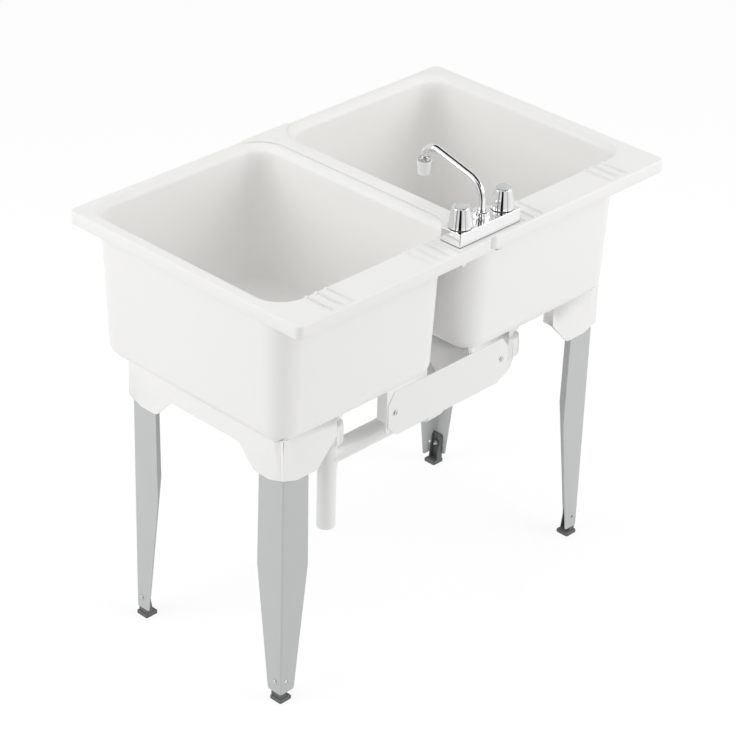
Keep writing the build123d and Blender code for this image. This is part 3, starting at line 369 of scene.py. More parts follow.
def tub_rings():
    """Rings of the moulding, from the drain over the inside, the rim and the outside."""
    floor_top = RIM_Z - BOWL_DROP + WALL
    inner = (BOWL_HALF_X - WALL, BOWL_HALF_Y - WALL, BOWL_CORNER - WALL)
    outer = (BOWL_HALF_X, BOWL_HALF_Y, BOWL_CORNER)
    inner_round = FLOOR_ROUND - WALL
    rings = []
    for lean in quarter(INNER_BENDS):
        height = floor_top + inner_round * (1 - math.cos(lean))
        rings.append(bowl_ring(*inner, inner_round * (1 - math.sin(lean)), height))
    hole_top = drain_ring(rings[0], floor_top)
    rings = [hole_top, *between(hole_top, rings[0], FLOOR_RUNS), *rings]
    wall_high = bowl_ring(*inner, 0, RIM_Z - MOUTH_ROUND)
    rings += [*between(rings[-1], wall_high, WALL_RUNS), wall_high]
    for lean in quarter(MOUTH_BENDS)[1:]:
        below = MOUTH_ROUND * (1 - math.sin(lean))
        in_edge = max(LEDGE_ROUND - below, 0)
        back_spread = LEDGE_ROUND - math.sqrt(LEDGE_ROUND**2 - in_edge**2)
        spread = MOUTH_ROUND * (1 - math.cos(lean))
        rings.append(bowl_ring(*inner, -spread, RIM_Z - below, -back_spread))
    deck_edge = lip_ring(LIP_ROUND, RIM_Z)
    rings += [*between(rings[-1], deck_edge, DECK_RUNS), deck_edge]
    for lean in quarter(LIP_BENDS)[1:]:
        height = RIM_Z - LIP_ROUND * (1 - math.cos(lean))
        rings.append(lip_ring(LIP_ROUND * (1 - math.sin(lean)), height))
    lip_low = RIM_Z - LIP_DROP
    deck_low = RIM_Z - WALL
    for inset, height in (
        (0, lip_low + LIP_EDGE),
        (EASE * LIP_EDGE, lip_low + EASE * LIP_EDGE),
        (LIP_EDGE, lip_low),
        (LIP_WALL - LIP_EDGE, lip_low),
        (LIP_WALL - EASE * LIP_EDGE, lip_low + EASE * LIP_EDGE),
        (LIP_WALL, lip_low + LIP_EDGE),
        (LIP_WALL, deck_low - LIP_ROUND),
        (LIP_WALL + DECK_EASE * LIP_ROUND, deck_low - DECK_EASE * LIP_ROUND),
        (LIP_WALL + LIP_ROUND, deck_low),
    ):
        rings.append(lip_ring(inset, height))
    for lean in quarter(UNDER_BENDS):
        height = deck_low - UNDER_ROUND * (1 - math.cos(lean))
        rings.append(bowl_ring(*outer, -UNDER_ROUND * (1 - math.sin(lean)), height))
    wall_low = bowl_ring(*outer, 0, RIM_Z - BOWL_DROP + FLOOR_ROUND)
    rings += [*between(rings[-1], wall_low, WALL_RUNS), wall_low]
    for lean in quarter(OUTER_BENDS)[1:]:
        height = RIM_Z - BOWL_DROP + FLOOR_ROUND * (1 - math.sin(lean))
        rings.append(bowl_ring(*outer, FLOOR_ROUND * (1 - math.cos(lean)), height))
    hole_low = drain_ring(rings[-1], RIM_Z - BOWL_DROP)
    return [*rings, *between(rings[-1], hole_low, UNDERSIDE_RUNS), hole_low]


# Drain ribs on the ledges: two groups of three narrow ridges on each tub. Geometry Nodes raise
# them out of the moulding, from the edge of the mouth back to the outer lip.
def named_group(name, **sizes):
    """A Geometry Nodes tree with a geometry in and out, its named sizes and its finish."""
    group = bpy.data.node_groups.new(name, "GeometryNodeTree")
    group.interface.new_socket("Geometry", in_out="INPUT", socket_type="NodeSocketGeometry")
    for size_name, value in sizes.items():
        shown_name = size_name.replace("_", " ").title()
        kind = "NodeSocketObject" if value is None else "NodeSocketFloat"
        made = group.interface.new_socket(shown_name, in_out="INPUT", socket_type=kind)
        if value is not None:
            made.default_value = value
    group.interface.new_socket("Finish", in_out="INPUT", socket_type="NodeSocketMaterial")
    group.interface.new_socket("Geometry", in_out="OUTPUT", socket_type="NodeSocketGeometry")
    return group, group.nodes.new("NodeGroupInput").outputs


def smooth_ramp(tree, value, start, end, first, last):
    """A value that eases from one level to another between two places."""
    inputs = {"Value": value, "From Min": start, "From Max": end, "To Min": first, "To Max": last}
    ramp = add_node(tree, "ShaderNodeMapRange", inputs, interpolation_type="SMOOTHSTEP")
    return ramp.outputs["Result"]


def end_tree(tree, geometry, finish):
    """Close a tree with plain geometry that carries its finish."""
    real = add_node(tree, "GeometryNodeRealizeInstances", {"Geometry": geometry}).outputs[0]
    painted = add_node(tree, "GeometryNodeSetMaterial", {"Geometry": real, "Material": finish})
    add_node(tree, "NodeGroupOutput", {"Geometry": painted.outputs["Geometry"]})


def made_by(piece, group, **values):
    """The plain mesh that a Geometry Nodes tree makes of a piece."""
    modifier = piece.modifiers.new(group.name, "NODES")
    modifier.node_group = group
    for item in group.interface.items_tree:
        wanted = item.name.lower().replace(" ", "_")
        if item.item_type == "SOCKET" and item.in_out == "INPUT" and wanted in values:
            modifier[item.identifier] = values[wanted]
    graph = bpy.context.evaluated_depsgraph_get()
    mesh = bpy.data.meshes.new_from_object(piece.evaluated_get(graph))
    mesh.name = piece.name
    piece.modifiers.clear()
    piece.data = mesh
    return piece


def dressed(piece, body, node_name, material):
    """A finished piece in its material, riding its body in the place of its CAD node."""
    piece.data.materials.clear()
    piece.data.materials.append(material)
    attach(piece, body)
    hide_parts(node_name)
    return piece


RIB_MIDDLE_RIGHT = 267.0  # midway between a tub's two groups
RIB_MIDDLE_LEFT = -248.0
RIB_OFFSET = 127.0
RIB_PITCH = 24.5
RIB_WIDTH = 6.6
RIB_HEIGHT = 3.0
RIB_END = 310.0
RIB_FADE = 5.0
LEDGE_LEAD = 20.0  # how far before the bowl's back edge the ribs may begin
SOFT_TURN = math.radians(35)
rib_tree, given = named_group(
    "drain_ribs",
    rib_height=0.003,
    rib_width=0.006,
    rib_pitch=0.025,
    group_offset=0.12,
    groups_middle=0.25,
    rim_height=0.9,
    edge_rounding=0.006,
    ledge_start=0.2,
    rib_end=0.3,
    rib_fade=0.005,
)
spot = rib_tree.nodes.new("GeometryNodeInputPosition").outputs["Position"]
apart = add_node(rib_tree, "ShaderNodeSeparateXYZ", {"Vector": spot}).outputs
from_middle = math_node(rib_tree, "SUBTRACT", apart["X"], given["Groups Middle"])
from_middle = math_node(rib_tree, "ABSOLUTE", from_middle)
in_group = math_node(rib_tree, "SUBTRACT", from_middle, given["Group Offset"])
nearest = math_node(rib_tree, "DIVIDE", in_group, given["Rib Pitch"])
nearest = math_node(rib_tree, "ROUND", nearest)
nearest = math_node(rib_tree, "MINIMUM", math_node(rib_tree, "MAXIMUM", nearest, -1.0), 1.0)
rib_line = math_node(rib_tree, "MULTIPLY", nearest, given["Rib Pitch"])
off_rib = math_node(rib_tree, "ABSOLUTE", math_node(rib_tree, "SUBTRACT", in_group, rib_line))
half_width = math_node(rib_tree, "MULTIPLY", given["Rib Width"], 0.5)
share = math_node(rib_tree, "MINIMUM", math_node(rib_tree, "DIVIDE", off_rib, half_width), 1.0)
ridge = math_node(rib_tree, "COSINE", math_node(rib_tree, "MULTIPLY", share, math.pi))
ridge = math_node(rib_tree, "MULTIPLY_ADD", ridge, 0.5, 0.5)
low_edge = math_node(rib_tree, "SUBTRACT", given["Rim Height"], given["Edge Rounding"])
up_edge = math_node(rib_tree, "SUBTRACT", apart["Z"], low_edge)
up_edge = math_node(rib_tree, "DIVIDE", up_edge, given["Edge Rounding"])
up_edge = math_node(rib_tree, "MINIMUM", math_node(rib_tree, "MAXIMUM", up_edge, 0.0), 1.0)
up_edge = math_node(rib_tree, "MULTIPLY", up_edge, up_edge)
on_ledge = math_node(rib_tree, "GREATER_THAN", apart["Y"], given["Ledge Start"])
fade_start = math_node(rib_tree, "SUBTRACT", given["Rib End"], given["Rib Fade"])
fade = smooth_ramp(rib_tree, apart["Y"], fade_start, given["Rib End"], 1.0, 0.0)
rise = math_node(rib_tree, "MULTIPLY", ridge, given["Rib Height"])
for mask in (up_edge, on_ledge, fade):
    rise = math_node(rib_tree, "MULTIPLY", rise, mask)
outward = rib_tree.nodes.new("GeometryNodeInputNormal").outputs["Normal"]
shift = add_node(rib_tree, "ShaderNodeVectorMath", {0: outward, "Scale": rise}, operation="SCALE")
raised = add_node(
    rib_tree, "GeometryNodeSetPosition", {"Geometry": given["Geometry"], "Offset": shift.outputs[0]}
)
end_tree(rib_tree, raised.outputs["Geometry"], given["Finish"])

tubs = {}
for tub_name, node_name, side, groups_middle in (
    ("tub_right", "right_tub", 1, RIB_MIDDLE_RIGHT),
    ("tub_left", "left_tub", -1, RIB_MIDDLE_LEFT),
):
    rings = tub_rings()
    count = len(rings[0])
    points = np.concatenate(rings) * MM
    points[:, 0] = side * (points[:, 0] + TUB_X * MM)
    faces = []
    for level in range(len(rings)):
        low = level * count
        high = (level + 1) % len(rings) * count
        for i in range(count):
            j = (i + 1) % count
            faces.append((low + i, low + j, high + j, high + i)[::side])
    shell = bpy.data.meshes.new(tub_name)
    shell.from_pydata(points.tolist(), [], faces)
    check = bmesh.new()
    check.from_mesh(shell)
    bmesh.ops.recalc_face_normals(check, faces=check.faces)
    check.to_mesh(shell)
    check.free()
    shell.polygons.foreach_set("use_smooth", [True] * len(shell.polygons))
    tub = tubs[node_name] = placed(tub_name, shell)
    made_by(
        tub,
        rib_tree,
        rib_height=RIB_HEIGHT * MM,
        rib_width=RIB_WIDTH * MM,
        rib_pitch=RIB_PITCH * MM,
        group_offset=RIB_OFFSET * MM,
        groups_middle=groups_middle * MM,
        rim_height=RIM_Z * MM,
        edge_rounding=LEDGE_ROUND * MM,
        ledge_start=(BOWL_Y + BOWL_HALF_Y - LEDGE_LEAD) * MM,
        rib_end=RIB_END * MM,
        rib_fade=RIB_FADE * MM,
        finish=white_plastic,
    )
    tub.data.set_sharp_from_angle(angle=SOFT_TURN)
    dressed(tub, "sink", node_name, white_plastic)


# Skirts and aprons. Below the floor of each tub the moulding runs on as a thin skirt with four
# aprons and the sockets of the legs. They are cut from the solids, and their edges stay crisp.
SAME_POINT = 0.01  # mm, corners that are closer than this count as one
SAME_PLANE = math.radians(0.6)


def softened(name, source, width, crease=28.0, trimmed=None):
    """A copy of a CAD node with its edges rounded, after an optional trim of its mesh."""
    copy = bmesh.new()
    copy.from_mesh(nodes[source].data)
    bmesh.ops.remove_doubles(copy, verts=copy.verts, dist=SAME_POINT * MM)
    if trimmed:
        trimmed(copy)
    bmesh.ops.dissolve_limit(
        copy, angle_limit=SAME_PLANE, verts=copy.verts, edges=copy.edges, delimit={"NORMAL"}
    )
    mesh = bpy.data.meshes.new(name)
    copy.to_mesh(mesh)
    copy.free()
    mesh.polygons.foreach_set("use_smooth", [True] * len(mesh.polygons))
    mesh.set_sharp_from_angle(angle=math.radians(crease))
    piece = placed(name, mesh)
    edge = piece.modifiers.new("edge", "BEVEL")
    edge.width = width * MM
    edge.segments = 2
    edge.limit_method = "ANGLE"
    edge.angle_limit = math.radians(crease)
    edge.harden_normals = True
    graph = bpy.context.evaluated_depsgraph_get()
    rounded_mesh = bpy.data.meshes.new_from_object(piece.evaluated_get(graph))
    rounded_mesh.name = name
    piece.modifiers.clear()
    piece.data = rounded_mesh
    return piece


APRON_TIP_Z = 509.0
APRON_CORNER_Z = 518.5
APRON_ARC_X = 441.0  # centre and radius of the aprons' outer corners, which end in a crisp edge
APRON_ARC_Y = 209.0
APRON_ARC = 8.0
SLACK = 0.5  # how near a corner lies to the place that it is looked for at
SHELL_NEAR = 0.6  # solid faces this close to the bowl's skin belong to the bowl
SHELL_BITE = 0.8  # how far the skirt's upper edge runs into the bowl's wall
SKIRT_TOP_Z = RIM_Z - BOWL_DROP + 2 * FLOOR_ROUND


def below_bowl(copy, bowl_skin):
    """Leave only what hangs below the bowl, its upper edge let into the bowl's wall."""
    on_skin = []
    for face in copy.faces:
        spots = [face.calc_center_median(), *[v.co for v in face.verts]]
        if all(bowl_skin.find_nearest(spot)[3] < SHELL_NEAR * MM for spot in spots):
            on_skin.append(face)
        elif min(spot.z for spot in spots) > SKIRT_TOP_Z * MM:
            on_skin.append(face)
    bmesh.ops.delete(copy, geom=on_skin, context="FACES")
    for vertex in copy.verts:
        if vertex.is_boundary:
            _, outward, _, _ = bowl_skin.find_nearest(vertex.co)
            vertex.co -= outward * SHELL_BITE * MM
        elif vertex.co.z < (APRON_TIP_Z - SLACK) * MM:
            vertex.co.z = APRON_CORNER_Z * MM
        over = (abs(vertex.co.x) / MM - APRON_ARC_X, abs(vertex.co.y) / MM - APRON_ARC_Y)
        if min(over) > 0 and math.hypot(*over) > APRON_ARC - SLACK:
            reach = APRON_ARC / max(over)
            vertex.co.x = math.copysign(APRON_ARC_X + over[0] * reach, vertex.co.x) * MM
            vertex.co.y = math.copysign(APRON_ARC_Y + over[1] * reach, vertex.co.y) * MM


for skirt_name, node_name in (("skirt_right", "right_tub"), ("skirt_left", "left_tub")):
    bowl_skin = BVHTree.FromObject(tubs[node_name], bpy.context.evaluated_depsgraph_get())
    # the trimmed mesh leaves no room for a rounding, so this width only sets the edges' shading
    skirt = softened(skirt_name, node_name, 0.8, trimmed=lambda copy: below_bowl(copy, bowl_skin))
    dressed(skirt, "sink", node_name, white_plastic)


# Strip over the seam: a thin white plate that bridges the two rims between the mouths and
# carries the faucet at its back. It is undercut, so a fine shadow runs along its edge.
UNDERCUT = 2.2
LEVEL_SHARE = 0.3  # least level part of the normal of a corner that counts as a side's


def pushed(copy, distance, chosen):
    """Move the chosen corners of a plate's sides out by a distance in mm, or in below 0."""
    copy.normal_update()
    for vertex in copy.verts:
        outward = Vector((vertex.normal.x, vertex.normal.y, 0))
        if chosen(vertex.co / MM) and outward.length > LEVEL_SHARE:
            vertex.co += outward.normalized() * distance * MM


strip = softened(
    "seam_strip",
    "joint_strip",
    0.4,
    trimmed=lambda copy: pushed(copy, -UNDERCUT, lambda spot: spot.z < RIM_Z + SLACK),
)
dressed(strip, "sink", "joint_strip", white_plastic)


# Tie plates: flat white plastic sheets, front and back, that tie the tubs' aprons together.
# Their corners are cut off, and a screw near each end holds them.
plate_plastic = finish_of(
    "plate_plastic", (0.918, 0.918, 0.908), (0.900, 0.900, 0.890), (0.38, 0.50), 900.0, (0.3, 0.05)
)
for place in ("rear", "front"):
    plate = softened(f"plate_{place}", f"tie_plate_{place}", 0.6)
    dressed(plate, "sink", f"tie_plate_{place}", plate_plastic)


# Screws of the tie plates: zinc plated pan heads with a cross recess, one at each plate end.
# Geometry Nodes set one turned screw at every hole, square to its plate.
TURNED_CREASE = math.radians(40)


def turned(name, profile, around, closed=False):
    """A round piece on the Z axis from its outline, given as radius and height in mm."""
    turn = np.linspace(0, 2 * np.pi, around, endpoint=False)
    shape = bmesh.new()
    rows = []
    for radius, height in profile:
        if radius < SAME_POINT:
            rows.append([shape.verts.new((0, 0, height * MM))])
        else:
            rows.append([
                shape.verts.new((radius * MM * math.cos(a), radius * MM * math.sin(a), height * MM))
                for a in turn
            ])
    pairs = list(zip(rows, rows[1:]))
    if closed:
        pairs.append((rows[-1], rows[0]))
    for low, high in pairs:
        for i in range(around):
            j = (i + 1) % around
            sides = (low[i % len(low)], low[j % len(low)], high[j % len(high)], high[i % len(high)])
            face = list(dict.fromkeys(sides))
            if len(face) > 2:
                shape.faces.new(face)
    bmesh.ops.recalc_face_normals(shape, faces=shape.faces)
    mesh = bpy.data.meshes.new(name)
    shape.to_mesh(mesh)
    shape.free()
    mesh.polygons.foreach_set("use_smooth", [True] * len(mesh.polygons))
    mesh.set_sharp_from_angle(angle=TURNED_CREASE)
    return placed(name, mesh)


def rounded(profile, size, steps=3):
    """A turned outline with each of its corners rounded."""
    most = 0.45  # share of a side that one corner's rounding may take
    smooth = [profile[0]]
    for before, corner, after in zip(profile, profile[1:], profile[2:]):
        start, middle, end = (np.array(p, float) for p in (before, corner, after))
        reach_in = min(size, np.linalg.norm(start - middle) * most)
        reach_out = min(size, np.linalg.norm(end - middle) * most)
        first = middle + (start - middle) / np.linalg.norm(start - middle) * reach_in
        last = middle + (end - middle) / np.linalg.norm(end - middle) * reach_out
        for t in np.linspace(0, 1, steps + 1):
            smooth.append(tuple((1 - t) ** 2 * first + 2 * t * (1 - t) * middle + t**2 * last))
    return [*smooth, profile[-1]]


zinc = finish_of(
    "zinc_plate",
    (0.66, 0.66, 0.65),
    (0.54, 0.54, 0.53),
    (0.24, 0.38),
    2600.0,
    (0.2, 0.03),
    (420.0, 0.3),
    60.0,
    1.0,
)
place_tree, given = named_group("set_fastenings", fastening=None)
facing = add_node(
    place_tree, "GeometryNodeInputNamedAttribute", {"Name": "facing"}, data_type="FLOAT_VECTOR"
).outputs["Attribute"]
aim = add_node(place_tree, "FunctionNodeAlignRotationToVector", {"Vector": facing}, axis="Z")
model = add_node(place_tree, "GeometryNodeObjectInfo", {"Object": given["Fastening"]})
copies = {
    "Points": given["Geometry"],
    "Instance": model.outputs["Geometry"],
    "Rotation": aim.outputs["Rotation"],
}
copies = add_node(place_tree, "GeometryNodeInstanceOnPoints", copies)
end_tree(place_tree, copies.outputs["Instances"], given["Finish"])


def set_at(name, model, finish, spots):
    """One mesh of copies of a fastening, at places in mm, each facing its direction."""
    mesh = bpy.data.meshes.new(name)
    mesh.from_pydata([tuple(v * MM for v in spot) for spot, _ in spots], [], [])
    way = mesh.attributes.new("facing", "FLOAT_VECTOR", "POINT")
    way.data.foreach_set("vector", [v for _, direction in spots for v in direction])
    piece = made_by(placed(name, mesh), place_tree, fastening=model, finish=finish)
    bpy.data.objects.remove(model)
    return piece


SIDES = [(x, y) for x in (-1, 1) for y in (-1, 1)]
PLATE_FACE_Y = 219.0  # outer face of the tie plates
TIE_SCREW_X = 152.0
TIE_SCREW_Z = 550.0
SCREW_RADIUS = 2.5
SCREW_HEAD_RADIUS = 5.5
SCREW_LENGTH = 14.0
RECESS_HALF_WIDTH = 0.55
RECESS_REACH = 3.2
RECESS_CENTRE = 0.2
RECESS_DEPTH = 1.1
screw_head = [
    *((0, 1.9), (1.2, 1.9), (2.6, 2.5), (4.4, 2.2)),
    *((SCREW_HEAD_RADIUS, 0.9), (SCREW_HEAD_RADIUS, 0), (SCREW_RADIUS, 0)),
]
screw_shank = [(SCREW_RADIUS, -SCREW_LENGTH), (0, -SCREW_LENGTH)]
screw_model = turned("screw_model", [*rounded(screw_head, 0.5), *screw_shank], 40)
for vertex in screw_model.data.vertices:
    reach = vertex.co.xy.length / MM
    in_slot = min(abs(vertex.co.x), abs(vertex.co.y)) / MM < RECESS_HALF_WIDTH
    if vertex.co.z > 0 and RECESS_CENTRE < reach < RECESS_REACH and in_slot:
        vertex.co.z -= RECESS_DEPTH * MM
screw_spots = [((x * TIE_SCREW_X, y * PLATE_FACE_Y, TIE_SCREW_Z), (0, y, 0)) for x, y in SIDES]
screws = set_at("tie_screw_heads", screw_model, zinc, screw_spots)
dressed(screws, "sink", "tie_screws", zinc)


# Legs: steel sheet folded to an angle, light grey powder coat, pushed up into the sockets of the
# aprons. They widen to the knee and taper to the foot.
leg_paint = finish_of(
    "leg_paint",
    (0.580, 0.605, 0.595),
    (0.555, 0.577, 0.570),
    (0.40, 0.52),
    1500.0,
    (0.35, 0.06),
    (240.0, 0.35),
    6.0,
)
CORNERS = ("rear_right", "rear_left", "front_right", "front_left")
for corner in CORNERS:
    leg = softened(f"folded_leg_{corner}", f"leg_{corner}", 0.35)
    dressed(leg, "sink", f"leg_{corner}", leg_paint)


# Levelling feet: dark grey moulded plastic, a bevelled pad under a slotted upright with two side
# ribs. A bolt and nut clamp each foot to its leg.
foot_plastic = finish_of(
    "foot_plastic",
    (0.150, 0.153, 0.153),
    (0.108, 0.111, 0.111),
    (0.42, 0.58),
    1300.0,
    (0.4, 0.08),
    (300.0, 0.4),
    50.0,
)
for corner in CORNERS:
    foot = softened(f"level_foot_{corner}", f"foot_{corner}", 0.7)
    dressed(foot, f"foot_{corner}", f"foot_{corner}", foot_plastic)

LEG_X = 444.1
BOLT_Y = 196.1
BOLT_Z = 46.0
BOLT_RADIUS = 3.0
BOLT_HEAD_RADIUS = 5.2
BOLT_HEAD_HEIGHT = 3.4
BOLT_LENGTH = 17.0
BOLT_TAPER = 0.8  # length of the bevel at the bolt's end
bolt_head = [
    *((0, BOLT_HEAD_HEIGHT), (2.6, 3.3), (4.4, 2.3)),
    *((BOLT_HEAD_RADIUS, 0.9), (BOLT_HEAD_RADIUS, 0), (BOLT_RADIUS, 0)),
]
bolt_end = [(BOLT_RADIUS, BOLT_TAPER - BOLT_LENGTH), (2.4, -BOLT_LENGTH), (0, -BOLT_LENGTH)]
bolt_model = turned("bolt_model", [*rounded(bolt_head, 0.6), *rounded(bolt_end, 0.3)], 36)
bolt_spots = [((x * LEG_X, y * BOLT_Y, BOLT_Z), (x, 0, 0)) for x, y in SIDES]
bolts = set_at("foot_bolt_set", bolt_model, zinc, bolt_spots)
dressed(bolts, "sink", "foot_bolts", zinc)
nuts = softened("foot_nut_set", "foot_nuts", 0.4)
dressed(nuts, "sink", "foot_nuts", zinc)


# Faucet body: a chrome plated housing on a dark gasket, over the nickel plated waterway that
# comes down through the ledge and is held by two plastic nuts. The two valves are brass.
chrome = finish_of(
    "chrome_plating",
    (0.87, 0.87, 0.87),
    (0.83, 0.83, 0.835),
    (0.035, 0.075),
    900.0,
    (0.05, 0.02),
    (90.0, 0.6),
    30.0,
    1.0,
)
gasket_rubber = finish_of(
    "gasket_rubber", (0.045, 0.045, 0.046), (0.028, 0.028, 0.030), (0.62, 0.78), 1800.0, (0.4, 0.05)
)
brass = finish_of(
    "brass_body",
    (0.78, 0.58, 0.28),
    (0.66, 0.47, 0.22),
    (0.30, 0.44),
    1500.0,
    (0.35, 0.06),
    (200.0, 0.4),
    40.0,
    1.0,
)
plated_brass = finish_of(
    "plated_brass",
    (0.82, 0.81, 0.78),
    (0.74, 0.73, 0.70),
    (0.24, 0.36),
    1500.0,
    (0.3, 0.05),
    (200.0, 0.4),
    40.0,
    1.0,
)
pvc_white = finish_of(
    "pvc_white", (0.925, 0.925, 0.915), (0.905, 0.905, 0.893), (0.26, 0.36), 1200.0, (0.15, 0.04)
)
FAUCET_Y = 278.0
GASKET_CORE_X = 80.0  # what lies further out than these belongs to the gasket's outline
GASKET_CORE_Y = 21.0
GASKET_GROWTH = 2.3  # brings the gasket out flush with the housing above it


def at_outline(spot):
    """Whether a corner of the gasket lies on its outline and not on a hole."""
    return abs(spot.x) > GASKET_CORE_X or abs(spot.y - FAUCET_Y) > GASKET_CORE_Y


gasket = softened(
    "base_gasket",
    "faucet_gasket",
    0.2,
    trimmed=lambda copy: pushed(copy, GASKET_GROWTH, at_outline),
)
dressed(gasket, "sink", "faucet_gasket", gasket_rubber)
for name, node_name, width, slot_name, material in (
    ("base_housing", "faucet_base", 0.35, "chrome_plating", chrome),
    ("waterway_body", "waterway", 0.4, "brass_body", plated_brass),
    ("ledge_nuts", "mounting_nuts", 0.7, "pvc_white", pvc_white),
    ("hot_valve", "hot_cartridge", 0.4, "brass_body", brass),
    ("cold_valve", "cold_cartridge", 0.4, "brass_body", brass),
):
    dressed(softened(name, node_name, width), "sink", node_name, material)


# Handles: chrome plated knobs with eight broad lobes and a grey insert in the top, screwed to
# the valve stems. Geometry Nodes cut the narrow grooves into the turned body.
flute_tree, given = named_group(
    "flutes",
    count=8.0,
    depth=0.002,
    sharpness=0.5,
    low=0.0,
    high=0.04,
    fade=0.002,
    inside_radius=0.015,
)
spot = flute_tree.nodes.new("GeometryNodeInputPosition").outputs["Position"]
apart = add_node(flute_tree, "ShaderNodeSeparateXYZ", {"Vector": spot}).outputs
angle = math_node(flute_tree, "ARCTAN2", apart["Y"], apart["X"])
half_count = math_node(flute_tree, "MULTIPLY", given["Count"], 0.5)
wave = math_node(flute_tree, "COSINE", math_node(flute_tree, "MULTIPLY", angle, half_count))
wave = math_node(flute_tree, "ABSOLUTE", wave)
lobe = math_node(flute_tree, "POWER", wave, given["Sharpness"])
groove = math_node(flute_tree, "SUBTRACT", 1.0, lobe)
low_end = math_node(flute_tree, "ADD", given["Low"], given["Fade"])
high_start = math_node(flute_tree, "SUBTRACT", given["High"], given["Fade"])
level = add_node(flute_tree, "ShaderNodeCombineXYZ", {"X": apart["X"], "Y": apart["Y"]}).outputs[0]
reach = add_node(flute_tree, "ShaderNodeVectorMath", {0: level}, operation="LENGTH")
cut = math_node(flute_tree, "MULTIPLY", groove, given["Depth"])
for mask in (
    smooth_ramp(flute_tree, apart["Z"], given["Low"], low_end, 0.0, 1.0),
    smooth_ramp(flute_tree, apart["Z"], high_start, given["High"], 1.0, 0.0),
    math_node(flute_tree, "GREATER_THAN", reach.outputs["Value"], given["Inside Radius"]),
):
    cut = math_node(flute_tree, "MULTIPLY", cut, mask)
inward = math_node(flute_tree, "MULTIPLY", cut, -1.0)
away = add_node(flute_tree, "ShaderNodeVectorMath", {0: level}, operation="NORMALIZE").outputs[0]
shift = add_node(flute_tree, "ShaderNodeVectorMath", {0: away, "Scale": inward}, operation="SCALE")
fluted = {"Geometry": given["Geometry"], "Offset": shift.outputs[0]}
fluted = add_node(flute_tree, "GeometryNodeSetPosition", fluted)
end_tree(flute_tree, fluted.outputs["Geometry"], given["Finish"])
FLUTED_CREASE = math.radians(50)


def levels(low, high, steps):
    """Points of a turned outline spaced evenly between two others."""
    return [
        (low[0] + (high[0] - low[0]) * s / steps, low[1] + (high[1] - low[1]) * s / steps)
        for s in range(steps + 1)
    ]


def moved(piece, x, y, z, facing=(0, 0, 1)):
    """A piece made on the Z axis, its mesh carried to its place in mm."""
    turn = Vector(facing).to_track_quat("Z", "X").to_matrix().to_4x4()
    piece.data.transform(Matrix.Translation(Vector((x, y, z)) * MM) @ turn)
    return piece


HANDLE_X = 58.2
KNOB_Z = 942.7
KNOB_HEIGHT = 41.5
KNOB_FOOT_RADIUS = 23.4
KNOB_NECK_RADIUS = 17.2
KNOB_BORE_RADIUS = 15.2
KNOB_BORE_TOP = 17.0
KNOB_RIM_HEIGHT = 4.0
KNOB_NECK_HEIGHT = 37.6
CAP_SEAT = 1.1  # how far the insert's seat lies below the knob's top
CAP_RADIUS = 13.6
CAP_THICKNESS = 2.2
CAP_DOME_RADIUS = 13.3
CAP_DOME_FOOT = 0.25
CAP_DOME_HEIGHT = 1.15
handle_grey = finish_of(
    "handle_cap",
    (0.66, 0.67, 0.67),
    (0.56, 0.57, 0.575),
    (0.10, 0.18),
    900.0,
    (0.05, 0.03),
    (60.0, 0.5),
    40.0,
)
knob_foot = [
    *((KNOB_BORE_RADIUS, KNOB_BORE_TOP), (KNOB_BORE_RADIUS, 0)),
    *((KNOB_FOOT_RADIUS, 0), (KNOB_FOOT_RADIUS, KNOB_RIM_HEIGHT)),
]
knob_side = levels((KNOB_FOOT_RADIUS, KNOB_RIM_HEIGHT), (KNOB_NECK_RADIUS, KNOB_NECK_HEIGHT), 12)
knob_top = [
    *((KNOB_NECK_RADIUS, KNOB_NECK_HEIGHT), (16.9, 39.4), (15.2, KNOB_HEIGHT)),
    *((13.9, KNOB_HEIGHT), (13.7, KNOB_HEIGHT - CAP_SEAT)),
]
knob_outline = [
    (0, KNOB_BORE_TOP),
    *rounded(knob_foot, 0.7),
    *knob_side[1:],
    *rounded(knob_top, 0.8, 4)[1:],
    (0, KNOB_HEIGHT - CAP_SEAT),
]
cap_outline = [
    (0, -CAP_THICKNESS),
    *rounded([(0, -CAP_THICKNESS), (CAP_RADIUS, -CAP_THICKNESS), (CAP_RADIUS, 0)], 0.3)[1:],
    (13.45, 0.2),
    *[
        (CAP_DOME_RADIUS * math.cos(t), CAP_DOME_FOOT + CAP_DOME_HEIGHT * math.sin(t))
        for t in np.radians([8, 24, 42, 60, 76])
    ],
    (0, CAP_DOME_FOOT + CAP_DOME_HEIGHT),
]
for water, side in (("hot", -1), ("cold", 1)):
    body = f"{water}_handle"
    knob = turned(f"{water}_knob_body", knob_outline, 256)
    made_by(
        knob,
        flute_tree,
        count=8.0,
        depth=2.1 * MM,
        sharpness=0.26,
        low=-2 * MM,
        high=40.6 * MM,
        fade=1.8 * MM,
        inside_radius=15.6 * MM,
        finish=chrome,
    )
    knob.data.set_sharp_from_angle(angle=FLUTED_CREASE)
    moved(knob, side * HANDLE_X, FAUCET_Y, KNOB_Z)
    dressed(knob, body, f"{water}_knob", chrome)
    cap = turned(f"{water}_insert", cap_outline, 64)
    moved(cap, side * HANDLE_X, FAUCET_Y, KNOB_Z + KNOB_HEIGHT)
    dressed(cap, body, f"{water}_cap", handle_grey)
    for name, part, slot_name, material in (
        ("stem_bar", "stem", "brass_body", brass),
        ("grub", "knob_screw", "screw_steel", zinc),
    ):
        piece = softened(f"{water}_{name}", f"{water}_{part}", 0.25)
        dressed(piece, body, f"{water}_{part}", material)


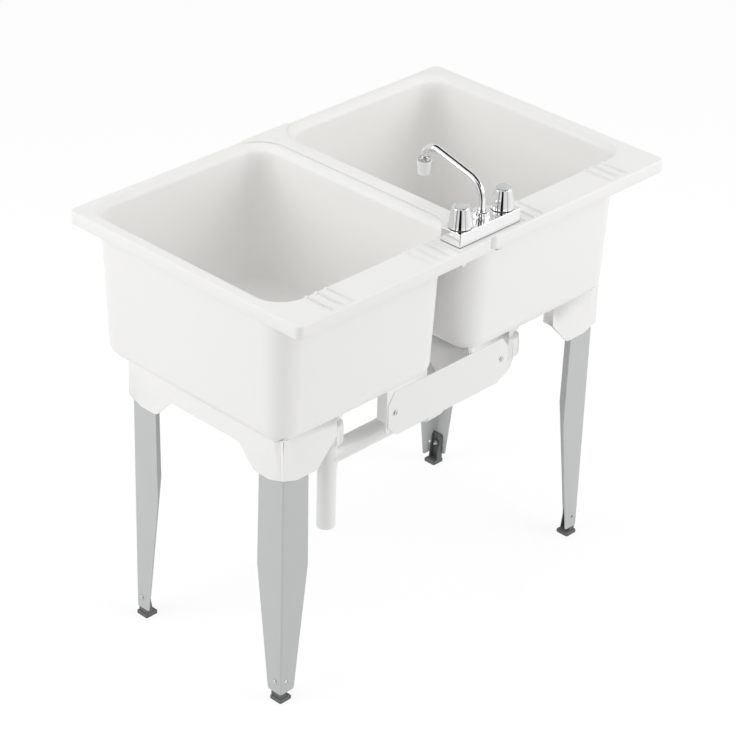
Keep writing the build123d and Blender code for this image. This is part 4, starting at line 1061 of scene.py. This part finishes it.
# Spout: a knurled collar on the housing, a chrome tube bent from the riser over to the outlet,
# a plated ring at its end and a milky plastic outlet. Geometry Nodes bend and sweep the tube.
BASE_TOP = 941.5
TUBE_RADIUS = 7.47
TUBE_FOOT_DROP = 13.8
SPOUT_REACH = 150.0
SPOUT_RISE = math.tan(math.radians(15.0))
RISER_BEND = 43.0
OUTLET_BEND = 27.0
TUBE_CORNER_Z = 1008.0
RING_Z = 1006.0
OUTLET_Y = FAUCET_Y - SPOUT_REACH
COLLAR_RADIUS = 16.8
COLLAR_BORE = 7.9
COLLAR_HEIGHT = 15.5
RING_BORE = 7.6
RING_RADIUS = 12.0
OUTLET_DROP = 28.0
collar_foot = [(COLLAR_BORE, 1.0), (COLLAR_BORE, 0), (COLLAR_RADIUS, 0), (COLLAR_RADIUS, 2.0)]
collar_top = [
    *((COLLAR_RADIUS, 12.6), (16.7, 14.2), (15.2, COLLAR_HEIGHT)),
    *((8.6, COLLAR_HEIGHT), (COLLAR_BORE, 14.6)),
]
collar_outline = [
    *rounded(collar_foot, 0.4),
    *levels((COLLAR_RADIUS, 2.0), (COLLAR_RADIUS, 12.6), 4)[1:],
    *rounded(collar_top, 0.7, 4)[1:],
]
collar = turned("knurled_collar", collar_outline, 320, closed=True)
made_by(
    collar,
    flute_tree,
    count=16.0,
    depth=0.9 * MM,
    sharpness=0.6,
    low=0.6 * MM,
    high=14.2 * MM,
    fade=1.4 * MM,
    inside_radius=12 * MM,
    finish=chrome,
)
moved(collar, 0, FAUCET_Y, BASE_TOP)
dressed(collar, "sink", "spout_nut", chrome)

tube_tree, given = named_group("bent_tube", tube_radius=0.0075)
line = add_node(tube_tree, "GeometryNodeMeshToCurve", {"Mesh": given["Geometry"]}).outputs["Curve"]
bend = add_node(
    tube_tree, "GeometryNodeInputNamedAttribute", {"Name": "bend"}, data_type="FLOAT"
).outputs["Attribute"]
curved = add_node(
    tube_tree, "GeometryNodeFilletCurve", {"Curve": line, "Radius": bend, "Count": 22}, mode="POLY"
).outputs["Curve"]
section = {"Resolution": 48, "Radius": given["Tube Radius"]}
section = add_node(tube_tree, "GeometryNodeCurvePrimitiveCircle", section).outputs["Curve"]
swept = add_node(
    tube_tree,
    "GeometryNodeCurveToMesh",
    {"Curve": curved, "Profile Curve": section, "Fill Caps": True},
).outputs["Mesh"]
smooth = add_node(tube_tree, "GeometryNodeSetShadeSmooth", {"Geometry": swept})
end_tree(tube_tree, smooth.outputs["Geometry"], given["Finish"])

tube_path = bpy.data.meshes.new("spout_tube")
path_points = [
    (0, FAUCET_Y, BASE_TOP - TUBE_FOOT_DROP),
    (0, FAUCET_Y, TUBE_CORNER_Z),
    (0, OUTLET_Y, TUBE_CORNER_Z + SPOUT_REACH * SPOUT_RISE),
    (0, OUTLET_Y, TUBE_CORNER_Z),
]
tube_path.from_pydata([tuple(v * MM for v in p) for p in path_points], [(0, 1), (1, 2), (2, 3)], [])
bends = tube_path.attributes.new("bend", "FLOAT", "POINT")
bends.data.foreach_set("value", [0.0, RISER_BEND * MM, OUTLET_BEND * MM, 0.0])
tube = placed("spout_tube", tube_path)
made_by(tube, tube_tree, tube_radius=TUBE_RADIUS * MM, finish=chrome)
tube.data.set_sharp_from_angle(angle=FLUTED_CREASE)
dressed(tube, "spout", "spout", chrome)

outlet_ring = finish_of(
    "outlet_ring",
    (0.60, 0.60, 0.61),
    (0.50, 0.50, 0.51),
    (0.06, 0.12),
    900.0,
    (0.06, 0.02),
    (90.0, 0.6),
    30.0,
    1.0,
)
ring_outline = [
    *((RING_BORE, 4.0), (RING_BORE, 0.1), (RING_RADIUS, 0.1), (RING_RADIUS, 7.0)),
    *((10.2, 8.9), (RING_BORE, 8.9), (RING_BORE, 4.2)),
]
end_ring = turned("outlet_collar", rounded(ring_outline, 0.5), 72, closed=True)
moved(end_ring, 0, OUTLET_Y, RING_Z)
dressed(end_ring, "spout", "spout_ring", outlet_ring)

outlet_white = finish_of(
    "outlet_white", (0.90, 0.90, 0.875), (0.86, 0.86, 0.835), (0.20, 0.30), 900.0, (0.08, 0.03)
)
milky = outlet_white.node_tree.nodes["Principled BSDF"]
milky.inputs["Subsurface Weight"].default_value = 0.4
milky.inputs["Subsurface Scale"].default_value = 0.004
milky.inputs["Subsurface Radius"].default_value = (1, 1, 1)
cup_outline = [
    *((RING_BORE, -1.2), (RING_BORE, 0), (14.4, 0), (11.3, -OUTLET_DROP)),
    *((9.0, -OUTLET_DROP), (12.0, -2.4), (RING_BORE, -2.4), (RING_BORE, -1.4)),
]
outlet = turned("outlet_cup", rounded(cup_outline, 0.7), 72, closed=True)
moved(outlet, 0, OUTLET_Y, RING_Z)
dressed(outlet, "spout", "spout_cap", outlet_white)


# Drains: a stainless strainer flange in the floor of each bowl, with a rubber ring and a white
# lock nut under the floor, and a white tailpiece held by its nut.
strainer_steel = finish_of(
    "strainer_steel",
    (0.66, 0.66, 0.655),
    (0.58, 0.58, 0.575),
    (0.20, 0.34),
    1800.0,
    (0.2, 0.03),
    (260.0, 0.3),
    40.0,
    1.0,
)
for side in ("right", "left"):
    for name, part, width, slot_name, material in (
        ("strainer", "drain_flange", 0.4, "strainer_steel", strainer_steel),
        ("floor_seal", "drain_gasket", 0.4, "gasket_rubber", gasket_rubber),
        ("lock_nut", "drain_locknut", 0.8, "pvc_white", pvc_white),
        ("tail_tube", "tailpiece", 0.3, "pvc_white", pvc_white),
        ("tail_nut", "tailpiece_nut", 0.9, "pvc_white", pvc_white),
    ):
        piece = softened(f"{side}_{name}", f"{side}_{part}", width)
        dressed(piece, "sink", f"{side}_{part}", material)


# Waste pipes: white PVC. A tee under the right drain and an arm from the left drain meet in the
# middle, and ribbed slip nuts with rubber washers close the joints.
for name, node_name, slot_name, material in (
    ("tee_fitting", "waste_tee", "pvc_white", pvc_white),
    ("elbow_arm", "waste_arm", "pvc_white", pvc_white),
    ("joint_washers", "slip_washers", "gasket_rubber", gasket_rubber),
):
    dressed(softened(name, node_name, 0.4), "sink", node_name, material)

SLIP_Z = 493.0
ARM_X = -5.0
ARM_Z = 460.0
NUT_LENGTH = 43.0
NUT_RADIUS = 29.5
NUT_EDGE_RADIUS = 28.2
NUT_EDGE = 1.6
HUB_RADIUS = 24.75
HUB_DEPTH = 38.0
PIPE_RADIUS = 19.3
nut_foot = [(HUB_RADIUS, 1.0), (HUB_RADIUS, 0), (NUT_EDGE_RADIUS, 0), (NUT_RADIUS, NUT_EDGE)]
nut_side = levels((NUT_RADIUS, NUT_EDGE), (NUT_RADIUS, NUT_LENGTH - NUT_EDGE), 8)
nut_top = [
    *((NUT_RADIUS, NUT_LENGTH - NUT_EDGE), (NUT_EDGE_RADIUS, NUT_LENGTH)),
    *((PIPE_RADIUS, NUT_LENGTH), (PIPE_RADIUS, HUB_DEPTH)),
    *((HUB_RADIUS, HUB_DEPTH), (HUB_RADIUS, 30.0)),
]
nut_outline = [*rounded(nut_foot, 0.6), *nut_side[1:], *rounded(nut_top, 0.6)[1:]]
for name, node_name, x, z, facing in (
    ("right_ribbed_nut", "right_slip_nut", TUB_X, SLIP_Z, (0, 0, 1)),
    ("left_ribbed_nut", "left_slip_nut", -TUB_X, SLIP_Z, (0, 0, 1)),
    ("arm_ribbed_nut", "arm_slip_nut", ARM_X, ARM_Z, (-1, 0, 0)),
):
    nut = turned(name, nut_outline, 256, closed=True)
    made_by(
        nut,
        flute_tree,
        count=16.0,
        depth=-1.6 * MM,
        sharpness=0.22,
        low=1.0 * MM,
        high=35.0 * MM,
        fade=3.0 * MM,
        inside_radius=27 * MM,
        finish=pvc_white,
    )
    nut.data.set_sharp_from_angle(angle=FLUTED_CREASE)
    moved(nut, x, DRAIN_Y, z, facing)
    dressed(nut, "sink", node_name, pvc_white)
